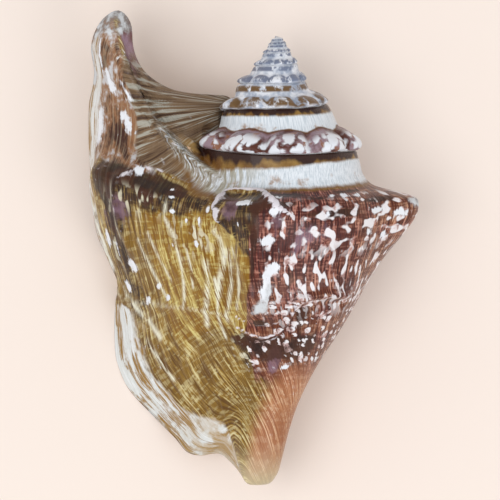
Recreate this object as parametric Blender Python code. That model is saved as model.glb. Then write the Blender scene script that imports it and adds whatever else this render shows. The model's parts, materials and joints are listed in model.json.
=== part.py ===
"""Conch shell, lying on its aperture: one closed solid, in metres, +Z up.

The shell is one strip wound round an axis that runs along Y, apex at +Y.  Growth goes with the
angle theta (degrees, 0 at +X, 90 at +Z), which ends at the outer lip.  Each whorl starts at its
suture, where it sits on the whorl before.  Only the last whorl runs on down to the canal tip, and
only its last third leaves the round body, to spread into the lip with its finger.
"""

import math

import bmesh
import bpy
import numpy as np

MM = 0.001
SHELL_COLOUR = (0.42, 0.24, 0.1, 1.0)

# Driving dimensions, in millimetres and degrees.
APEX_RISE = 0.5
AXIS_HEIGHT = 24.6
AXIS_PITCH = 4.0
CENTRE = (-6.949, 0.23)
LIP_ANGLE = 224.0
WHORLS_IN_SPIRE = 6
COLUMNS_PER_TURN = 44
ROWS_PER_BAND = 6
ROWS_IN_BODY = 36
COLUMNS_IN_THROAT = 7
THROAT_ANGLE = 118.0
SHALLOW_UNDER_WEB = 50.0
SHALLOW_AT_CANAL = 56.0
WHORL_SHRINK = 0.62
WALL = 2.8
THIN_WALL = 2.0
CORNER_OUT = 1.3
CORNER_DOWN = 3.4
CREST_SHARE = 0.72
LIP_LEAVES_AT = 158.0
LIP_LEAVES_SOONER = 30.0
LIP_HIDES = 0.66
FINGER_ROW = 0.215
FINGER_REACH = 0.07
FINGER_LEAVES = (-0.9, 0.45, -0.6)
FINGER_POINTS = (-0.12, 1.0, 0.0)

# Suture: theta, radius, place along the axis.
SUTURE = (
    (-2430, 0.7, 57.2),
    (-2070, 1.4, 56.3),
    (-1710, 2.3, 54.8),
    (-1350, 3.5, 52.8),
    (-990, 5.5, 49.7),
    (-630, 8.6, 45.0),
    (-270, 13.8, 38.9),
    (-100, 17.2, 33.0),
    (0, 19.4, 27.8),
    (90, 21.3, 26.3),
    (165, 21.9, 27.2),
    (224, 22.4, 27.6),
)
SUTURE_SWAY = 0.05
SUTURE_DIP = 0.10

# One visible whorl of the spire: share of the way from its suture to the next one,
# then the shares of the drop and of the widening reached there.
BAND = (
    (0.0, 0.0, 0.0),
    (0.15, 0.14, 0.12),
    (0.30, 0.30, 0.2),
    (0.45, 0.46, 0.3),
    (0.56, 0.56, 0.44),
    (0.68, 0.67, 0.74),
    (0.8, 0.8, 0.97),
    (0.92, 0.92, 1.04),
    (1.0, 1.0, 1.0),
)

# Bend of the axis to the side: place along Y, sideways shift.
AXIS_BEND = (
    (-64, -5.8),
    (-50, -4.6),
    (-30, -1.8),
    (-10, -0.2),
    (10, 0.9),
    (26, 1.2),
    (35, 1.1),
    (39, 0.2),
    (43, -0.9),
    (49, -0.3),
    (57, -0.3),
)

# Full-grown whorl over the back: row share, radius, place along the axis.
BODY = (
    (0.0, 21.3, 26.3),
    (0.10, 21.4, 24.2),
    (0.20, 21.6, 21.6),
    (0.29, 22.2, 18.6),
    (0.35, 24.4, 16.4),
    (0.39, 27.8, 14.4),
    (0.44, 29.6, 10.2),
    (0.50, 29.3, 4.6),
    (0.56, 27.4, -2.0),
    (0.62, 24.9, -8.8),
    (0.68, 22.2, -15.4),
    (0.74, 18.4, -22.4),
    (0.80, 13.4, -30.6),
    (0.86, 9.8, -39.6),
    (0.91, 8.0, -47.8),
    (0.944, 6.6, -56.4),
    (0.96, 5.8, -60.0),
    (0.972, 4.4, -62.2),
    (1.0, 0.0, -63.4),
)

# The same whorl one turn before the lip, where the aperture's inner lip begins.
START = (
    (0.17, 18.6, 30.6),
    (0.28, 18.8, 25.0),
    (0.35, 20.2, 20.0),
    (0.42, 21.9, 13.6),
    (0.50, 20.8, 4.6),
    (0.56, 19.0, -2.0),
    (0.62, 16.8, -8.8),
    (0.68, 14.2, -15.4),
    (0.74, 11.6, -22.4),
    (0.80, 8.8, -30.6),
    (0.86, 6.2, -39.6),
    (0.91, 4.6, -47.8),
    (0.944, 3.4, -56.4),
    (0.96, 2.8, -60.0),
    (0.972, 2.2, -62.2),
    (1.0, 0.0, -63.4),
)

# Edge of the outer lip: row share, then x, y and height above the table.
RIM = (
    (0.03, -12.8, 40.2, 19.0),
    (0.06, -18.2, 41.3, 20.4),
    (0.09, -23.6, 41.7, 21.6),
    (0.12, -29.8, 43.2, 22.8),
    (0.15, -36.0, 47.6, 24.0),
    (0.18, -39.0, 54.6, 25.0),
    (0.195, -39.3, 59.4, 25.6),
    (0.222, -42.8, 63.7, 26.0),
    (0.25, -47.8, 60.6, 24.0),
    (0.278, -50.3, 54.0, 21.0),
    (0.30, -49.5, 47.4, 17.5),
    (0.33, -51.0, 39.0, 13.5),
    (0.36, -51.2, 30.0, 10.5),
    (0.40, -50.8, 20.0, 8.0),
    (0.44, -50.2, 11.0, 5.0),
    (0.48, -48.8, 3.0, 2.0),
    (0.51, -45.6, -3.6, 0.3),
    (0.54, -43.0, -8.5, 0.0),
    (0.57, -44.0, -13.5, 0.0),
    (0.62, -44.4, -22.0, 0.0),
    (0.67, -43.8, -30.0, 0.0),
    (0.72, -40.8, -37.4, 0.0),
    (0.78, -34.0, -45.0, 1.0),
    (0.83, -28.0, -51.0, 5.0),
    (0.87, -24.4, -54.9, 8.0),
    (0.90, -20.6, -55.6, 9.5),
    (0.93, -15.4, -55.2, 10.5),
    (0.95, -12.0, -58.2, 12.5),
    (0.972, -9.4, -61.6, 14.5),
    (1.0, -5.8, -63.4, 17.5),
)

# Crest of the lip, where it turns down to its edge.
CREST = (
    (0.03, -15.8, 37.4, 22.8),
    (0.06, -20.2, 38.6, 24.0),
    (0.09, -25.2, 39.4, 25.2),
    (0.12, -31.0, 41.2, 26.6),
    (0.15, -37.2, 45.8, 28.0),
    (0.18, -41.0, 53.4, 29.6),
    (0.20, -42.2, 58.2, 29.8),
    (0.222, -43.8, 60.0, 29.4),
    (0.25, -46.2, 57.4, 29.0),
    (0.278, -47.2, 51.6, 28.0),
    (0.30, -45.6, 45.0, 27.0),
    (0.33, -45.2, 37.6, 25.5),
    (0.36, -45.2, 29.6, 25.0),
    (0.385, -46.4, 23.6, 28.0),
    (0.41, -47.4, 19.2, 31.5),
    (0.44, -47.0, 13.6, 28.5),
    (0.48, -45.6, 5.6, 23.0),
    (0.51, -44.2, -0.6, 18.5),
    (0.54, -42.4, -6.6, 14.5),
    (0.57, -41.0, -12.0, 12.0),
    (0.62, -39.4, -20.0, 9.5),
    (0.67, -38.2, -27.6, 8.5),
    (0.72, -35.4, -34.6, 8.5),
    (0.78, -29.6, -41.8, 10.0),
    (0.83, -24.6, -47.4, 12.5),
    (0.87, -21.2, -51.2, 14.5),
    (0.90, -18.0, -52.4, 15.5),
    (0.93, -14.2, -53.2, 16.5),
    (0.95, -11.0, -57.6, 18.2),
    (0.972, -8.8, -61.2, 18.8),
    (1.0, -5.8, -63.4, 17.5),
)

# Knobs: theta, row share, height, half width in degrees, reach towards apex and canal in rows.
KNOBS = (
    (2.0, 0.41, 8.8, 15.0, 0.035, 0.13),
    (109.0, 0.395, 6.6, 17.0, 0.035, 0.08),
    (103.0, 0.53, 4.2, 7.5, 0.12, 0.12),
    (100.0, 0.675, 4.4, 14.0, 0.055, 0.032),
    (60.0, 0.645, 1.4, 26.0, 0.05, 0.04),
    (123.0, 0.54, -1.6, 8.0, 0.07, 0.1),
    (-68.0, 0.44, 3.4, 24.0, 0.07, 0.16),
)
SPIRE_KNOBS_PER_TURN = 10
SPIRE_KNOB_ANGLE = 87.0
SPIRE_KNOB_HEIGHT = 0.07
SPIRE_KNOB_PLACE = 0.8
SPIRE_KNOB_REACH = 0.15


def smooth(low, high, value):
    """0 up to low, 1 from high, with an S-shaped rise between."""
    share = np.clip((value - low) / (high - low), 0.0, 1.0)
    return share * share * (3.0 - 2.0 * share)


def hermite(t, start, start_run, end, end_run):
    """Cubic from start to end with the given tangents."""
    return (
        (2 * t**3 - 3 * t**2 + 1) * start
        + (t**3 - 2 * t**2 + t) * start_run
        + (3 * t**2 - 2 * t**3) * end
        + (t**3 - t**2) * end_run
    )


def keyed(table, at):
    """Smooth curve through a table's rows, read at its first column."""
    rows = np.array(table, float)
    knots, values = rows[:, 0], rows[:, 1:]
    slopes = np.gradient(values, knots, axis=0)
    at = np.clip(np.asarray(at, float), knots[0], knots[-1])
    i = np.clip(np.searchsorted(knots, at, side="right") - 1, 0, len(knots) - 2)
    span = knots[i + 1] - knots[i]
    t = ((at - knots[i]) / span)[..., None]
    span = span[..., None]
    return hermite(t, values[i], span * slopes[i], values[i + 1], span * slopes[i + 1])


def suture(theta):
    """Radius and axial place of the suture; it sways so that it looks level from above."""
    radius, along = np.moveaxis(keyed(SUTURE, theta), -1, 0)
    side = np.cos(np.radians(theta))
    sway = radius * (SUTURE_SWAY * side + SUTURE_DIP * (0.5 + 0.5 * side))
    return radius, along - sway * smooth(60, -60, theta)


def band(theta, share):
    """Radius and axial place on a spire whorl, between its suture and the next one."""
    upper = suture(theta)
    lower = suture(theta + 360.0)
    drop, widen = np.moveaxis(keyed(BAND, share), -1, 0)
    radius = upper[0] + (lower[0] - upper[0]) * widen
    wave = 0.5 + 0.5 * np.cos(np.radians((theta - SPIRE_KNOB_ANGLE) * SPIRE_KNOBS_PER_TURN))
    bump = np.exp(-(((share - SPIRE_KNOB_PLACE) / SPIRE_KNOB_REACH) ** 2))
    radius = radius * (1.0 + SPIRE_KNOB_HEIGHT * (wave - 0.4) * bump)
    return radius, upper[1] + (lower[1] - upper[1]) * drop


def band_end(theta):
    """Share of a spire whorl left in sight: the lip climbs up it on the far side."""
    return 1.0 - LIP_HIDES * smooth(LIP_LEAVES_AT - 360, LIP_ANGLE - 360, theta)


def knobs(theta, row):
    """How far the knobs of the last whorl stand out."""
    out = np.zeros(np.broadcast(theta, row).shape)
    for angle, place, height, width, above, below in KNOBS:
        reach = np.where(row < place, above, below)
        out += height * np.exp(
            -(((theta - angle) / width) ** 2) - ((row - place) / reach) ** 2
        )
    return out


def to_rest(radius, theta, along):
    """Turns a place round the axis into x, y and height above the table."""
    angle = np.radians(theta)
    pitch = math.radians(AXIS_PITCH)
    bend = keyed(AXIS_BEND, along)[..., 0]
    x = bend + radius * np.cos(angle)
    up = radius * np.sin(angle)
    y = along * math.cos(pitch) - up * math.sin(pitch)
    z = AXIS_HEIGHT + along * math.sin(pitch) + up * math.cos(pitch)
    return np.stack(np.broadcast_arrays(x, y, z), axis=-1)


def start_profile(row):
    """Radius and axial place one turn before the lip."""
    first = LIP_ANGLE - 360.0
    joint = ROWS_PER_BAND / ROWS_IN_BODY
    upper = band(first, band_end(first) * np.clip(row / joint, 0, 1))
    corner = band(first, band_end(first))
    table = ((joint, corner[0], corner[1]),) + START[1:]
    lower = np.moveaxis(keyed(table, row), -1, 0)
    return [np.where(row < joint, a, b) for a, b in zip(upper, lower)]


def body(theta, row):
    """A point of the last whorl while it is still round."""
    first = LIP_ANGLE - 360.0
    grown = np.clip((theta - first) / (90.0 - first), 0, 1.3) ** 0.5
    old = start_profile(row)
    new = np.moveaxis(keyed(BODY, row), -1, 0)
    radius, along = [a + (b - a) * grown for a, b in zip(old, new)]
    # The top row follows the suture on the whorl before.
    top = band(theta - 360, band_end(theta - 360))
    old_top = start_profile(np.zeros(1))
    fade = 1 - smooth(0, 0.34, row)
    radius = radius + (top[0] - (old_top[0] + (BODY[0][1] - old_top[0]) * grown)) * fade
    along = along + (top[1] - (old_top[1] + (BODY[0][2] - old_top[1]) * grown)) * fade
    return to_rest(radius, theta, along)


def seam(theta):
    """Where the last whorl's top row sits on the whorl before, up to the lip's end."""
    radius, along = band(theta - 360.0, band_end(theta - 360.0))
    return to_rest(radius, theta, along)


def edge(table, share, row):
    """Rim or crest of the lip, run back to the seam at its top."""
    first = leave_angle(np.zeros(()))
    start = seam(first + share * (LIP_ANGLE - first))
    return keyed(((0.0, *start),) + table, row)


def leave_angle(row):
    """Where each row leaves the round body to become the lip."""
    return LIP_LEAVES_AT - LIP_LEAVES_SOONER * smooth(0.0, 0.4, row)


def lip_path(t, row):
    """A row of the spread lip: from the body over the crest to the edge, t from 0 to 1."""
    leave = leave_angle(row)
    step = 2.0
    foot = body(leave, row)
    growth = (foot - body(leave - step, row)) / step * (LIP_ANGLE - leave)[..., None]
    crest = edge(CREST, CREST_SHARE, row)
    rim = edge(RIM, 1.0, row)
    reach = np.linalg.norm(crest - foot, axis=-1, keepdims=True)
    drop = np.linalg.norm(rim - crest, axis=-1, keepdims=True)
    finger = np.exp(-(((row - FINGER_ROW) / FINGER_REACH) ** 2))[..., None]
    leaving = growth * CREST_SHARE * (1 - finger) + reach * FINGER_LEAVES * finger
    ahead = (rim - foot) / np.linalg.norm(rim - foot, axis=-1, keepdims=True)
    ahead = ahead * (1 - finger) + np.array(FINGER_POINTS) * finger
    rise = hermite(t / CREST_SHARE, foot, leaving, crest, ahead * reach)
    over = (t - CREST_SHARE) / (1 - CREST_SHARE)
    fall = hermite(over, crest, ahead * drop, rim, (rim - crest) * 1.2)
    return np.where(t < CREST_SHARE, rise, fall)


def lip(theta, row):
    """A point of the spread lip; its top rows lean on the seam with the whorl before."""
    leave = leave_angle(row)
    t = np.clip((theta - leave) / (LIP_ANGLE - leave), 0, 1)[..., None]
    top = np.zeros_like(row)
    first = leave_angle(top)
    on_seam = seam(first + t[..., 0] * (LIP_ANGLE - first))
    hold = (1 - smooth(0.0, 0.14, row))[..., None]
    return lip_path(t, row) + (on_seam - lip_path(t, top)) * hold


def towards_axis(point):
    """Unit vector from a point to the axis, level with it."""
    axis = to_rest(np.zeros(point.shape[:-1]), 0.0, point[..., 1])
    pull = axis - point
    pull[..., 1] = 0.0
    return pull / (np.linalg.norm(pull, axis=-1, keepdims=True) + 1e-9)


def plain(theta, row):
    """Outer face of the last whorl before its knobs, round body and lip alike."""
    on_lip = (theta > leave_angle(row))[..., None]
    return np.where(on_lip, lip(theta, row), body(theta, row))


def outside(theta, row):
    """Outer face of the last whorl with its knobs pushed out from the axis."""
    face = plain(theta, row)
    return face - knobs(theta, row)[..., None] * towards_axis(face)


def thickness(row):
    """Thickness of the lip along its edge: thin web, stout finger, thin again at the canal."""
    web = smooth(0.0, 0.08, row) * (2.0 + 2.8 * smooth(0.04, 0.34, row))
    return web * (1 - 0.7 * smooth(0.76, 0.92, row))


def throat_angle(row):
    """Angle at which the hollow ends: deep in the body, shallow along the canal."""
    under_web = 1 - smooth(0.1, 0.44, row)
    return THROAT_ANGLE + SHALLOW_UNDER_WEB * under_web + SHALLOW_AT_CANAL * smooth(0.72, 0.92, row)


def throat(depth, row):
    """Inner face of the lip: depth 0 at the edge, 1 where the hollow ends."""
    rim = edge(RIM, 1.0, row)
    crest = edge(CREST, CREST_SHARE, row)
    inward = -np.cross(np.gradient(rim, axis=-2), crest - rim)
    inward /= np.linalg.norm(inward, axis=-1, keepdims=True) + 1e-9
    thick = thickness(row)[..., None]
    leave = leave_angle(row)
    shelf = lip(leave + 0.35 * (LIP_ANGLE - leave), row)
    round_part = smooth(0.15, 0.45, row)[..., None]
    hub = towards_axis(shelf) * round_part + np.array((0.0, 0.0, -1.0)) * (1 - round_part)
    down = inward * 0.6 * round_part + np.array((0.0, 0.0, -0.9))
    end = throat_angle(row)
    deep = np.where((row < 0.5)[..., None], plain(end, row), body(end, row))
    wall = THIN_WALL + (WALL - THIN_WALL) * smooth(0.2, 0.45, row)
    wall = wall * (1 - 0.45 * smooth(0.76, 0.9, row))
    stations = np.stack(
        [
            rim,
            rim + 0.10 * (crest - rim) + 0.36 * thick * inward,
            rim + 0.45 * (crest - rim) + 0.65 * thick * inward,
            crest + thick * down,
            shelf + thick * hub,
            deep + wall[..., None] * towards_axis(deep),
        ]
    )
    knots = np.array((0.0, 0.06, 0.2, 0.4, 0.7, 1.0))
    slopes = np.gradient(stations, knots, axis=0)
    i = min(int(np.searchsorted(knots, depth, side="right")) - 1, len(knots) - 2)
    span = knots[i + 1] - knots[i]
    t = (depth - knots[i]) / span
    arched = hermite(t, stations[i], span * slopes[i], stations[i + 1], span * slopes[i + 1])
    # Under the web the inner face follows the outer one, so that the thin sheet never crosses itself.
    follow = plain(LIP_ANGLE + depth * (end - LIP_ANGLE), row)
    follow = follow + thick * down * smooth(0.0, 0.2, depth)
    near_top = (1 - smooth(0.08, 0.18, row))[..., None]
    return arched + (follow - arched) * near_top


def inner_wall(depth, row):
    """The whorl before, seen inside the aperture, from the inner lip to the hollow's end."""
    first = LIP_ANGLE - 360.0
    theta = first + depth * (throat_angle(row) - LIP_ANGLE)
    joint = ROWS_PER_BAND / ROWS_IN_BODY
    shrink = WHORL_SHRINK ** ((first - theta) / 360.0)
    radius, along = start_profile(row)
    corner = band(theta[..., :1], band_end(theta[..., :1]))
    fade = 1 - smooth(joint, joint + 0.3, row)
    under = smooth(0.0, 0.5, depth)
    radius = radius * shrink
    radius = radius + (corner[0] + CORNER_OUT * under - radius[..., :1]) * fade
    along = along + (corner[1] - CORNER_DOWN * under - along[..., :1]) * fade
    return to_rest(radius, theta, along)


def shell_mesh(columns, band_rows, body_rows, depths):
    """Points and faces of the whole shell as one closed skin."""
    turns = WHORLS_IN_SPIRE
    spire_end = columns * turns
    points = []
    faces = []

    def add(block):
        """Adds a block of points and returns their numbers in the same layout."""
        start = sum(len(p) for p in points)
        points.append(block.reshape(-1, 3))
        return start + np.arange(block[..., 0].size).reshape(block.shape[:-1])

    def skin(left, right):
        """Joins two columns of points; a doubled point gives a triangle."""
        for a, b, c, d in zip(left, right, right[1:], left[1:]):
            ring = list(dict.fromkeys((int(a), int(b), int(c), int(d))))
            if len(ring) > 2:
                faces.append(ring)

    step = 360.0 / columns
    theta = LIP_ANGLE - 360.0 + step * np.arange(columns + 1)
    row = np.arange(body_rows + 1) / body_rows
    theta_grid, row_grid = np.meshgrid(theta, row, indexing="ij")
    whorl = outside(theta_grid, row_grid)
    top = theta - 360.0
    whorl[:, 0] = to_rest(band(top, band_end(top))[0], top, band(top, band_end(top))[1])
    whorl[0] = to_rest(start_profile(row)[0], theta[0], start_profile(row)[1])
    last = add(whorl)
    last[:, -1] = last[0, -1]
    last[columns, 0] = last[0, band_rows]

    early = LIP_ANGLE - 360.0 - step * np.arange(spire_end, 0, -1)
    share = np.arange(band_rows) / band_rows
    early_grid, share_grid = np.meshgrid(early, share, indexing="ij")
    radius, along = band(early_grid, band_end(early_grid) * share_grid)
    spire = np.empty((spire_end + 1, band_rows + 1), int)
    spire[:-1, :-1] = add(to_rest(radius, early_grid, along))
    spire[-1] = last[0, : band_rows + 1]
    next_turn = np.concatenate([spire[columns:, 0], last[1:, 0]])
    spire[:, -1] = next_turn[: spire_end + 1]

    lip_side = [last[columns]]
    body_side = [last[0]]
    for d in range(1, depths + 1):
        depth = d / depths
        outer = add(throat(depth, row))
        inner = np.full(body_rows + 1, -1)
        inner[band_rows:] = add(inner_wall(depth, row[band_rows:]))
        inner[:band_rows] = inner[band_rows]
        outer[0] = inner[band_rows]
        outer[-1] = inner[-1] = last[0, -1]
        lip_side.append(outer)
        body_side.append(inner)

    for left, right in zip(spire[:-1], spire[1:]):
        skin(left, right)
    for left, right in zip(last[:-1], last[1:]):
        skin(left, right)
    for left, right in zip(lip_side[:-1], lip_side[1:]):
        skin(left, right)
    skin(lip_side[-1], body_side[-1])
    for deep, shallow in zip(body_side[:0:-1], body_side[-2::-1]):
        skin(deep[band_rows:], shallow[band_rows:])

    ring = list(spire[: columns + 1, 0]) + list(spire[0, band_rows - 1 : 0 : -1])
    ring_middle = np.concatenate(points)[ring].mean(axis=0)
    apex = add(ring_middle[None] + (0.0, APEX_RISE, 0.0))[0]
    all_points = np.concatenate(points)
    for a, b in zip(ring, ring[1:] + ring[:1]):
        faces.append([int(apex), int(b), int(a)])
    return all_points, faces


def shell_material():
    """Glossy tan and brown shell."""
    glaze = bpy.data.materials.new("shell")
    glaze.use_nodes = True
    surface = glaze.node_tree.nodes["Principled BSDF"]
    surface.inputs["Base Color"].default_value = SHELL_COLOUR
    surface.inputs["Roughness"].default_value = 0.25
    surface.inputs["Metallic"].default_value = 0.0
    return glaze


def main():
    """Models the shell as one named object."""
    for item in list(bpy.data.objects):
        bpy.data.objects.remove(item)
    group = bpy.data.collections.new("conch_shell_model")
    bpy.context.scene.collection.children.link(group)

    points, faces = shell_mesh(COLUMNS_PER_TURN, ROWS_PER_BAND, ROWS_IN_BODY, COLUMNS_IN_THROAT)
    points[:, :2] -= CENTRE
    points[:, 2] = np.maximum(points[:, 2], 0.0)
    mesh = bpy.data.meshes.new("conch_shell")
    mesh.from_pydata((points * MM).tolist(), [], faces)
    mesh.materials.append(shell_material())

    skin = bmesh.new()
    skin.from_mesh(mesh)
    loose = [point for point in skin.verts if not point.link_faces]
    bmesh.ops.delete(skin, geom=loose, context="VERTS")
    bmesh.ops.triangulate(skin, faces=skin.faces)
    bmesh.ops.recalc_face_normals(skin, faces=skin.faces)
    skin.to_mesh(mesh)
    skin.free()
    group.objects.link(bpy.data.objects.new("conch_shell", mesh))


if __name__ == "__main__":
    main()
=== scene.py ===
# %% [markdown]
# # A conch shell, drawn the way it grew
#
# The real shell is one piece. A snail laid it down at the edge of its mouth, a thin strip at a time, while
# the mouth turned round an axis and moved down it. So the whole shell is a surface with two directions: the
# angle that the mouth has turned through, and the place along the mouth's edge. Everything on it follows one
# of the two. Growth lines, folds and pale streaks keep one angle. Bands, sutures and threads keep one place.
#
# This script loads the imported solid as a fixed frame, works out a fine skin over it with numpy, and paints
# the skin from the same two directions, so the pattern bends wherever the shell bends.

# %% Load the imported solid
import json
import math
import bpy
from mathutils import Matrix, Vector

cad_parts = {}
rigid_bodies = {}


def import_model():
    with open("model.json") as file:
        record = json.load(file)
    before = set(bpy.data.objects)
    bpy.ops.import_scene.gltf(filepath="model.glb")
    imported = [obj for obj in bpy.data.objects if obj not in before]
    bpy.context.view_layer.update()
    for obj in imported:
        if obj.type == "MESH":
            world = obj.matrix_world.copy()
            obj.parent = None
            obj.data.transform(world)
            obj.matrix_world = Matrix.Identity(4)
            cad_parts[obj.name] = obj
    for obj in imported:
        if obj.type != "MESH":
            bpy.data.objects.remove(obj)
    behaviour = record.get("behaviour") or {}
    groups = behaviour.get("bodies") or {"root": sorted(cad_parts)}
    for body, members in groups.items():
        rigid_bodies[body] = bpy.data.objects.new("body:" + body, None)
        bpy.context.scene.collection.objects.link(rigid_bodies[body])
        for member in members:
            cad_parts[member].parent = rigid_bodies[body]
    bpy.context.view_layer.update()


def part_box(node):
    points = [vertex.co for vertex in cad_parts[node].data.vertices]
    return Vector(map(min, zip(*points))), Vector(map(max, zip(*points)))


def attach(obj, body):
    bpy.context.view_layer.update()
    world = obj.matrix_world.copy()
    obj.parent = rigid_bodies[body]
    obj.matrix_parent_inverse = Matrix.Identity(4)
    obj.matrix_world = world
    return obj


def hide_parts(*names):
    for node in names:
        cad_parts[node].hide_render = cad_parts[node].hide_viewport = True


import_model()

from types import SimpleNamespace

import bpy
import numpy as np

NODE = "conch_shell"
low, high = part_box(NODE)
print("solid, mm:", [round((b - a) * 1000, 1) for a, b in zip(low, high)])

# %% [markdown]
# ## Sizes
#
# The skin uses the driving sizes of the solid itself, in millimetres and degrees, so both have one shape.
# Only the point that closes the apex lies about 0.3 mm lower. The skin has more columns than the solid, and
# they are closer together on the lip, where the folds are narrow.

# %% Driving sizes of the shell
MM = 0.001
APEX_RISE = 0.3
AXIS_HEIGHT = 24.6
AXIS_PITCH = 4.0
CENTRE = (-6.949, 0.23)
LIP_ANGLE = 224.0
FIRST_ANGLE = LIP_ANGLE - 360.0
WHORLS_IN_SPIRE = 6
THROAT_ANGLE = 118.0
SHALLOW_UNDER_WEB = 50.0
SHALLOW_AT_CANAL = 56.0
WHORL_SHRINK = 0.62
WALL = 2.8
THIN_WALL = 2.0
CORNER_OUT = 1.3
CORNER_DOWN = 3.4
CREST_SHARE = 0.72
LIP_LEAVES_AT = 158.0
LIP_LEAVES_SOONER = 30.0
LIP_HIDES = 0.66
FINGER_ROW = 0.215
FINGER_REACH = 0.07
FINGER_LEAVES = (-0.9, 0.45, -0.6)
FINGER_POINTS = (-0.12, 1.0, 0.0)
COLUMNS_ROUND = 132
COLUMNS_ON_LIP = 108
LIP_STARTS = 128.0
ROWS_PER_BAND = 30
ROWS_IN_BODY = 180
JOINT_ROW = ROWS_PER_BAND / ROWS_IN_BODY
DEPTHS_IN_THROAT = 18
print("columns in a turn:", COLUMNS_ROUND + COLUMNS_ON_LIP, "rows in the last whorl:", ROWS_IN_BODY)

# %% Tables of the spire, the axis and the last whorl
# Suture: theta, radius, place along the axis.
SUTURE = (
    (-2430, 0.7, 57.2), (-2070, 1.4, 56.3), (-1710, 2.3, 54.8), (-1350, 3.5, 52.8), (-990, 5.5, 49.7),
    (-630, 8.6, 45.0), (-270, 13.8, 38.9), (-100, 17.2, 33.0), (0, 19.4, 27.8), (90, 21.3, 26.3),
    (165, 21.9, 27.2), (224, 22.4, 27.6),
)
SUTURE_SWAY = 0.05
SUTURE_DIP = 0.10

# One visible whorl of the spire: share of the way from its suture to the next one,
# then the shares of the drop and of the widening reached there.
BAND = (
    (0.0, 0.0, 0.0), (0.15, 0.14, 0.12), (0.30, 0.30, 0.2), (0.45, 0.46, 0.3), (0.56, 0.56, 0.44),
    (0.68, 0.67, 0.74), (0.8, 0.8, 0.97), (0.92, 0.92, 1.04), (1.0, 1.0, 1.0),
)

# Bend of the axis to the side: place along Y, sideways shift.
AXIS_BEND = (
    (-64, -5.8), (-50, -4.6), (-30, -1.8), (-10, -0.2), (10, 0.9), (26, 1.2), (35, 1.1), (39, 0.2),
    (43, -0.9), (49, -0.3), (57, -0.3),
)

# Full-grown whorl over the back: row share, radius, place along the axis.
BODY = (
    (0.0, 21.3, 26.3), (0.10, 21.4, 24.2), (0.20, 21.6, 21.6), (0.29, 22.2, 18.6), (0.35, 24.4, 16.4),
    (0.39, 27.8, 14.4), (0.44, 29.6, 10.2), (0.50, 29.3, 4.6), (0.56, 27.4, -2.0), (0.62, 24.9, -8.8),
    (0.68, 22.2, -15.4), (0.74, 18.4, -22.4), (0.80, 13.4, -30.6), (0.86, 9.8, -39.6), (0.91, 8.0, -47.8),
    (0.944, 6.6, -56.4), (0.96, 5.8, -60.0), (0.972, 4.4, -62.2), (1.0, 0.0, -63.4),
)

# The same whorl one turn before the lip, where the aperture's inner lip begins. From the row at a half on it
# has the full-grown whorl's places along the axis, and its own radii.
START_TOP = ((0.28, 18.8, 25.0), (0.35, 20.2, 20.0), (0.42, 21.9, 13.6))
START_RADII = (20.8, 19.0, 16.8, 14.2, 11.6, 8.8, 6.2, 4.6, 3.4, 2.8, 2.2, 0.0)
LOWER_BODY = [station for station in BODY if station[0] >= 0.5]
START = START_TOP + tuple((row, radius, y) for (row, _, y), radius in zip(LOWER_BODY, START_RADII))
print("widest radius of the last whorl, mm:", max(radius for _, radius, _ in BODY))

# %% Tables of the lip and its knobs
# Edge of the outer lip: row share, then x, y and height above the table.
RIM = (
    (0.03, -12.8, 40.2, 19.0), (0.06, -18.2, 41.3, 20.4), (0.09, -23.6, 41.7, 21.6),
    (0.12, -29.8, 43.2, 22.8), (0.15, -36.0, 47.6, 24.0), (0.18, -39.0, 54.6, 25.0),
    (0.195, -39.3, 59.4, 25.6), (0.222, -42.8, 63.7, 26.0), (0.25, -47.8, 60.6, 24.0),
    (0.278, -50.3, 54.0, 21.0), (0.30, -49.5, 47.4, 17.5), (0.33, -51.0, 39.0, 13.5),
    (0.36, -51.2, 30.0, 10.5), (0.40, -50.8, 20.0, 8.0), (0.44, -50.2, 11.0, 5.0),
    (0.48, -48.8, 3.0, 2.0), (0.51, -45.6, -3.6, 0.3), (0.54, -43.0, -8.5, 0.0),
    (0.57, -44.0, -13.5, 0.0), (0.62, -44.4, -22.0, 0.0), (0.67, -43.8, -30.0, 0.0),
    (0.72, -40.8, -37.4, 0.0), (0.78, -34.0, -45.0, 1.0), (0.83, -28.0, -51.0, 5.0),
    (0.87, -24.4, -54.9, 8.0), (0.90, -20.6, -55.6, 9.5), (0.93, -15.4, -55.2, 10.5),
    (0.95, -12.0, -58.2, 12.5), (0.972, -9.4, -61.6, 14.5), (1.0, -5.8, -63.4, 17.5),
)

# Crest of the lip, where it turns down to its edge.
CREST = (
    (0.03, -15.8, 37.4, 22.8), (0.06, -20.2, 38.6, 24.0), (0.09, -25.2, 39.4, 25.2),
    (0.12, -31.0, 41.2, 26.6), (0.15, -37.2, 45.8, 28.0), (0.18, -41.0, 53.4, 29.6),
    (0.20, -42.2, 58.2, 29.8), (0.222, -43.8, 60.0, 29.4), (0.25, -46.2, 57.4, 29.0),
    (0.278, -47.2, 51.6, 28.0), (0.30, -45.6, 45.0, 27.0), (0.33, -45.2, 37.6, 25.5),
    (0.36, -45.2, 29.6, 25.0), (0.385, -46.4, 23.6, 28.0), (0.41, -47.4, 19.2, 31.5),
    (0.44, -47.0, 13.6, 28.5), (0.48, -45.6, 5.6, 23.0), (0.51, -44.2, -0.6, 18.5),
    (0.54, -42.4, -6.6, 14.5), (0.57, -41.0, -12.0, 12.0), (0.62, -39.4, -20.0, 9.5),
    (0.67, -38.2, -27.6, 8.5), (0.72, -35.4, -34.6, 8.5), (0.78, -29.6, -41.8, 10.0),
    (0.83, -24.6, -47.4, 12.5), (0.87, -21.2, -51.2, 14.5), (0.90, -18.0, -52.4, 15.5),
    (0.93, -14.2, -53.2, 16.5), (0.95, -11.0, -57.6, 18.2), (0.972, -8.8, -61.2, 18.8),
    (1.0, -5.8, -63.4, 17.5),
)

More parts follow.
